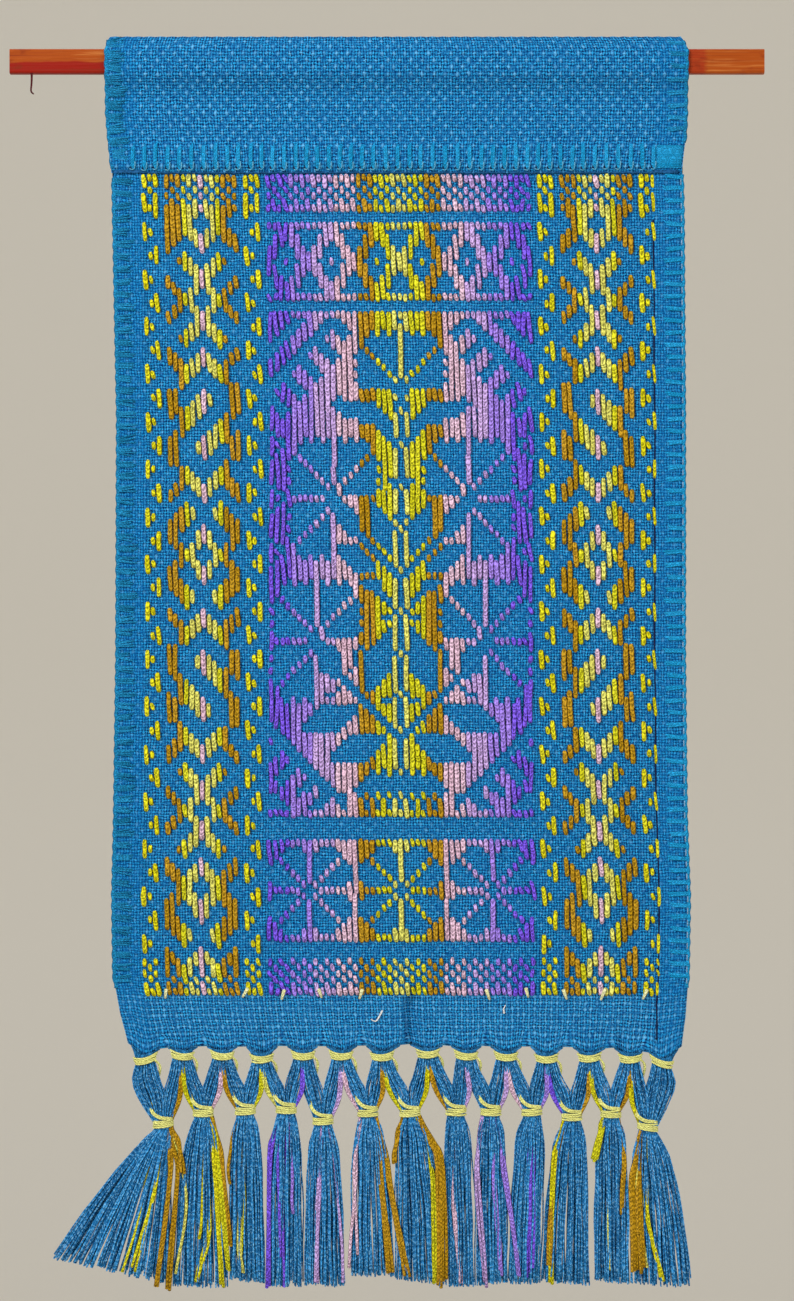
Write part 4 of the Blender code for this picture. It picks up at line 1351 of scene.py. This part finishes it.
# Coloured yarns in the tassels: tassel, colour, place across at the knot, place and height where it
# shows first, place and height of its end, half width
tasselYarns = (
    (1, "mustard", 1.0, -86.8, -458.0, -85.6, -467.0, 0.9),
    (1, "bright", 0.5, -98.0, -476.0, -106.5, -507.0, 0.9),
    (1, "bright", 0.2, -104.0, -484.0, -111.0, -508.0, 0.6),
    (1, "mustard", 0.6, -91.0, -470.0, -97.0, -513.0, 0.8),
    (1, "mustard", 0.7, -88.0, -470.0, -92.0, -514.0, 0.8),
    (1, "light", 0.95, -84.0, -482.0, -89.0, -508.0, 0.4),
    (2, "bright", 0.9, -72.0, -465.0, -69.5, -514.0, 1.0),
    (2, "green", 1.0, -70.3, -468.0, -66.5, -506.0, 0.8),
    (2, "mustard", 1.0, -68.8, -466.0, -66.0, -496.0, 0.7),
    (2, "bright", 0.1, -77.5, -480.0, -79.0, -495.0, 0.6),
    (2, "bright", 0.3, -75.0, -492.0, -80.0, -511.0, 0.9),
    (3, "mustard", -0.8, -66.5, -462.0, -66.0, -472.0, 0.5),
    (3, "light", 0.1, -62.0, -494.0, -60.5, -509.0, 0.8),
    (3, "green", -0.2, -60.0, -486.0, -61.5, -505.0, 0.5),
    (4, "violet", -0.8, -49.2, -462.0, -50.0, -513.0, 0.9),
    (4, "violet", -0.5, -45.8, -468.0, -44.6, -500.0, 0.4),
    (4, "softViolet", 0.3, -39.8, -474.0, -39.6, -484.0, 0.4),
    (4, "violet", 0.1, -43.6, -497.0, -43.2, -513.5, 0.6),
    (5, "lilac", -0.1, -29.0, -480.0, -29.8, -512.5, 0.9),
    (5, "lilac", 0.5, -19.4, -490.0, -18.6, -512.0, 0.5),
    (6, "pink", -1.0, -13.6, -468.0, -12.6, -500.0, 0.5),
    (6, "pink", -0.9, -13.4, -472.0, -15.8, -505.0, 0.6),
    (6, "mustard", 0.7, -2.0, -476.0, 1.5, -508.0, 1.2),
    (6, "mustard", 0.8, 1.2, -472.0, 8.5, -509.0, 1.1),
    (7, "mustard", -0.9, 3.6, -456.0, 3.0, -462.0, 0.8),
    (7, "green", 0.9, 19.5, -474.0, 20.3, -513.0, 0.9),
    (7, "mustard", 1.0, 21.8, -466.0, 22.0, -513.0, 1.1),
    (7, "mustard", 1.0, 23.6, -466.0, 24.4, -512.0, 0.9),
    (8, "pink", -0.1, 28.5, -484.0, 31.0, -512.0, 0.9),
    (9, "lilac", -1.0, 37.8, -468.0, 41.3, -513.0, 0.9),
    (9, "softViolet", -0.1, 45.2, -470.0, 47.5, -508.0, 0.8),
    (9, "softViolet", 0.4, 49.5, -468.0, 55.5, -508.0, 0.8),
    (10, "violet", -0.2, 60.0, -466.0, 59.5, -509.0, 1.0),
    (10, "violet", 0.1, 61.8, -470.0, 61.3, -506.0, 0.6),
    (11, "bright", -0.9, 70.0, -464.0, 68.7, -513.0, 0.9),
    (11, "mustard", -0.7, 69.0, -480.0, 68.0, -505.0, 0.7),
    (12, "green", -0.9, 89.0, -452.0, 86.5, -461.0, 1.0),
    (12, "green", -0.7, 90.0, -451.0, 87.5, -460.0, 0.8),
    (12, "light", 0.0, 93.0, -486.0, 93.5, -508.0, 0.5),
    (12, "mustard", 0.8, 99.5, -464.0, 98.5, -482.0, 0.7),
    (13, "mustard", -0.7, 103.0, -474.0, 104.0, -508.0, 1.2),
    (13, "mustard", -0.5, 105.6, -476.0, 107.3, -507.0, 1.1),
    (13, "light", -0.4, 105.0, -474.0, 109.0, -507.0, 0.5),
    (13, "bright", -0.2, 109.0, -484.0, 115.5, -511.0, 0.9),
)
# Coloured yarns on the inner sides of the legs: upper bundle, side, colour
legYarns = (
    (2, -1, "mustard"), (2, 1, "green"), (3, -1, "pink"), (3, 1, "mustard"), (4, -1, "green"),
    (4, 1, "light"), (5, -1, "violet"), (6, -1, "lilac"), (6, 1, "pink"), (7, -1, "mustard"),
    (7, 1, "green"), (8, -1, "bright"), (8, 1, "mustard"), (9, -1, "lilac"), (10, 1, "pink"),
    (10, -1, "lilac"), (11, -1, "softViolet"), (11, 1, "violet"), (12, -1, "mustard"), (12, 1, "green"),
    (13, -1, "mustard"), (13, 1, "bright"),
)


def makeColoredEnds():
    shuffle = random.Random(53)
    piles = {name: newPile() for name in yarnColors}
    front = fringe["tasselDepth"] - 2.4
    wide, deep = fringe["coloredHalf"]
    for tassel, name, u, showX, showZ, endX, endZ, half in tasselYarns:
        knot = lowerKnots[tassel - 1]
        inside = bundlePoint(knot, u * 0.8, 0.0, 1.0)
        head = bundlePoint(knot, u * 0.9, -0.2, -2.0)
        middle = (mix(head[0], showX, 0.6), 1.3, mix(head[2], showZ, 0.45))
        path = softCurve([inside, head, middle, (showX, front + 0.5, showZ), (endX, front + 0.4, endZ)], 16)
        threads = max(1, int(round(half * 2.4)))
        for n in range(threads):
            part = (n + 0.5) / threads * 2 - 1
            strand = path.copy()
            strand[:, 0] += part * half * np.linspace(0.7, 1.15, len(path))
            strand[:, 1] += shuffle.uniform(-0.3, 0.3)
            strand[-1, 2] += shuffle.uniform(-2.0, 1.0)
            strand = crimped(strand, shuffle, shuffle.uniform(1.5, 3.0), 0.25)
            layYarn(piles[name], strand, wide, deep, tone=shuffle.random(), taper=0.3)
    wide, deep = fringe["legYarnHalf"]
    for number, side, name in legYarns:
        upper = upperKnots[number - 1]
        lower = lowerKnots[number - 2 if side == -1 else number - 1]
        start = bundlePoint(upper, side * 0.12, 0.3, -1.0)
        end = bundlePoint(lower, -side * 0.85, -0.3, 0.5)
        for strand in (0.0, 1.0):
            bends = [
                (mix(start[0], end[0], across) - side * (out + strand * 0.9), y, mix(start[2], end[2], down))
                for across, down, out, y in ((0.3, 0.35, 0.9, 0.4), (0.68, 0.66, 1.7, 0.5))
            ]
            path = softCurve([start, *bends, end], 12)
            layYarn(piles[name], path, wide, deep, tone=shuffle.random())
    for name, pile in piles.items():
        if pile["count"]:
            finishPile(pile, f"fringe_yarn_{name}", yarnMaterials[name])


def makeBindings(material):
    # each wrap is wound in turns; its thread then runs behind a leg and over the next lower bundle
    shuffle = random.Random(61)
    half = fringe["threadHalf"]
    turns = fringe["bindingTurns"]
    for level, knots in (("upper", upperKnots), ("lower", lowerKnots)):
        for i, knot in enumerate(knots, start=1):
            pile = newPile()
            for n in range(turns):
                fromTop = n / (turns - 1)
                dz = (0.5 - fromTop) * (fringe["bindingHeight"] - 0.6)
                tilt = shuffle.uniform(-0.07, 0.07)
                flare = (0.9 * (1 - fromTop) if level == "upper" else 0.25 * abs(0.5 - fromTop)) + 0.25
                smile = 1.0 if level == "upper" else 0.35
                path = []
                for angle in np.linspace(0, 2 * math.pi, 29)[:-1]:
                    u = math.cos(angle)
                    x = u * (fringe["bundleHalfWidth"] + flare)
                    y = math.sin(angle) * (fringe["bundleHalfDepth"] + 0.35 + 0.1 * (n % 2))
                    rise = smile * (u * u - 0.4) * (1.1 - 0.5 * fromTop)
                    z = knot["z"] + dz + rise + x * (knot["slope"] + tilt)
                    path.append((knot["x"] + x, fringe["netDepth"] + y, z))
                path.append(path[0])
                layYarn(pile, path, half, half, back=(0.0, 0.0, 1.0), tone=shuffle.random())
            if level == "upper" and i <= len(lowerKnots):
                addRuns(pile, knot, lowerKnots[i - 1], shuffle)
            piece = finishPile(pile, f"wound_thread_{level}_{i:02d}", material)
            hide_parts(f"binding_{level}_{i:02d}")


def addRuns(pile, upper, lower, shuffle):
    half = fringe["threadHalf"]
    net = fringe["netDepth"]
    for n in range(2):
        shift = 0.8 * n
        start = (upper["x"] + 3.6, net - 1.2, upper["z"] + 0.7 - shift * 0.5)
        side = (upper["x"] + 6.0 + shift * 0.4, net + 0.6, upper["z"] - 3.6)
        middleZ = mix(upper["z"], lower["z"], 0.5)
        behind = (mix(upper["x"], lower["x"], 0.45) + 0.5, net + 2.9, middleZ + shift)
        emerge = (lower["x"] - 5.2 + shift * 0.5, net - 1.2, lower["z"] + 6.0 + shift * 0.9)
        over = (lower["x"] - 1.6, net - 2.6, lower["z"] + 2.5 + shift)
        end = (lower["x"] + 4.0, net - 1.2, lower["z"] + 1.9 + shift * 0.6)
        path = softCurve([start, side, behind, emerge, over, end], 28)
        layYarn(pile, path, half, half, tone=shuffle.random())


blueYarn = yarnMaterial("blue fringe yarn", fringe["blue"], 2.3, 0.2, 0.2, edge=0.6, spread=0.32,
                        shadow=fringe["blueShadow"], glint=fringe["blueGlint"])
neckYarn = yarnMaterial("blue yarn at the cloth's foot", fringe["neckBlue"], 2.3, 0.25, 0.2, edge=0.6,
                        spread=0.45)
paleThread = yarnMaterial("pale yellow thread", fringe["paleThread"], 1.6, 0.62, 0.5, edge=0.2, spread=0.92)
makeNecks(neckYarn)
makeLegs(blueYarn)
makeTassels(blueYarn)
makeColoredEnds()
makeBindings(paleThread)
print("fringe tied")


# Cream ends of thread along the panel's foot, a little lint, and a dark red end caught on the rod
looseEnds = {
    "feet": (-93.0, -59.6, -43.7, -28.1, -11.0, 42.4, 58.8, 74.8, 90.7, 108.4),
    "feetTop": -389.4,
    "feetEnd": -393.4,
    "lint": (((-6.8, -402.2), (-5.1, -403.1), (-3.9, -402.2), (-1.9, -398.5)),
             ((49.8, -396.2), (49.0, -398.0), (49.3, -399.8))),
    "caught": ((-149.2, -1.8, -4.6), (-149.0, -2.2, -6.0), (-149.1, -2.0, -9.5), (-149.3, -2.1, -12.6),
               (-148.2, -2.2, -13.8)),
    "creamTone": paint(244, 240, 180),
    "lintTone": paint(255, 255, 250),
    "redTone": paint(96, 12, 26),
}


def makeLooseEnds():
    shuffle = random.Random(71)
    feet, lint, caught = newPile(), newPile(), newPile()
    for x in looseEnds["feet"]:
        top = looseEnds["feetTop"] + shuffle.uniform(-0.4, 0.4)
        foot = looseEnds["feetEnd"] + shuffle.uniform(-0.6, 0.6)
        lean = shuffle.uniform(-1.3, -0.2) if shuffle.random() < 0.5 else shuffle.uniform(0.3, 1.1)
        front = frontOf(x, -392.0)
        path = softCurve([(x - lean, front - 1.3, top), (x, front - 1.6, mix(top, foot, 0.5)),
                          (x + lean, front - 0.7, foot)], 7)
        layYarn(feet, path, np.linspace(0.85, 0.5, 7), 0.5, tone=0.9, taper=0.3)
    for points in looseEnds["lint"]:
        path = softCurve([(x, frontOf(x, z) - 0.6, z) for x, z in points], 10)
        layYarn(lint, path, np.linspace(0.2, 0.42, 10), 0.3, tone=1.0)
    layYarn(caught, softCurve(looseEnds["caught"], 12), np.linspace(0.52, 0.3, 12), 0.36, tone=0.4, taper=0.2)
    lintMaterial = yarnMaterial("white lint", looseEnds["lintTone"], depth=0.8, edge=0.1)
    finishPile(lint, "lint", lintMaterial)
    redThread = yarnMaterial("dark red thread", looseEnds["redTone"], depth=0.5)
    finishPile(caught, "dark_red_thread_end", redThread)
    creamThread = yarnMaterial("cream thread", looseEnds["creamTone"], 1.6, 0.7, dots=0.3)
    finishPile(feet, "cream_thread_ends", creamThread)


makeLooseEnds()


# Stage: pale floor sweeping up to a pale wall well behind, soft lamps, straight-on camera
studio = {
    "floorHeight": -1.25,
    "wallDepth": 4.2,
    "cameraDistance": 1.6,
    "frameHeight": 0.5464,
    "frameMiddle": (0.0042, -0.2472),
    "tone": paint(226, 221, 210),
    "daylight": ((1.0, 0.985, 0.96, 1.0), 0.62),  # colour and strength
    "aim": (0.0, 0.0, -0.25),
    "lamps": (  # name, place, size and power
        ("window", (-0.9, -1.2, 0.75), 0.6, 26),
        ("fill", (1.2, -1.3, -0.1), 1.2, 9),
        ("back fill", (0.3, 1.6, 0.6), 1.4, 16),
    ),
}


def makeStage():
    material, _, shader = newMaterial("pale studio sweep", 0.9)
    shader.inputs["Base Color"].default_value = studio["tone"]
    low, far, bend = studio["floorHeight"], studio["wallDepth"], 1.0
    profile = [(-3.5, low), (far - bend, low)]
    for angle in np.linspace(0.2, 1.57, 8):
        profile.append((far - bend + bend * math.sin(angle), low + bend - bend * math.cos(angle)))
    profile.append((far, low + 4.0))
    points = [(x, y, z) for y, z in profile for x in (-5.0, 5.0)]
    mesh = bpy.data.meshes.new("studio_sweep")
    mesh.from_pydata(points, [], [(2 * i, 2 * i + 1, 2 * i + 3, 2 * i + 2) for i in range(len(profile) - 1)])
    mesh.shade_smooth()
    mesh.materials.append(material)
    sweep = bpy.data.objects.new("studio_sweep", mesh)
    bpy.context.scene.collection.objects.link(sweep)


def addLamp(name, place, size, power):
    lamp = bpy.data.lights.new(name, "AREA")
    lamp.size = size
    lamp.energy = power
    holder = bpy.data.objects.new(name, lamp)
    holder.location = place
    direction = np.array(studio["aim"]) - np.array(place)
    holder.rotation_mode = "QUATERNION"
    holder.rotation_quaternion = Vector(direction).to_track_quat("-Z", "Y")
    bpy.context.scene.collection.objects.link(holder)


def makeLightAndCamera():
    scene = bpy.context.scene
    world = bpy.data.worlds.new("soft daylight")
    world.use_nodes = True
    background = world.node_tree.nodes["Background"]
    color, strength = studio["daylight"]
    background.inputs["Color"].default_value = color
    background.inputs["Strength"].default_value = strength
    scene.world = world
    scene.view_settings.view_transform = "Standard"
    for lamp in studio["lamps"]:
        addLamp(*lamp)
    camera = bpy.data.cameras.new("straight on")
    camera.lens = camera.sensor_width * studio["cameraDistance"] / studio["frameHeight"]
    holder = bpy.data.objects.new("straight on", camera)
    holder.location = (studio["frameMiddle"][0], -studio["cameraDistance"], studio["frameMiddle"][1])
    holder.rotation_euler = (math.pi / 2, 0.0, 0.0)
    scene.collection.objects.link(holder)
    scene.camera = holder


makeStage()
makeLightAndCamera()
print("stage set")
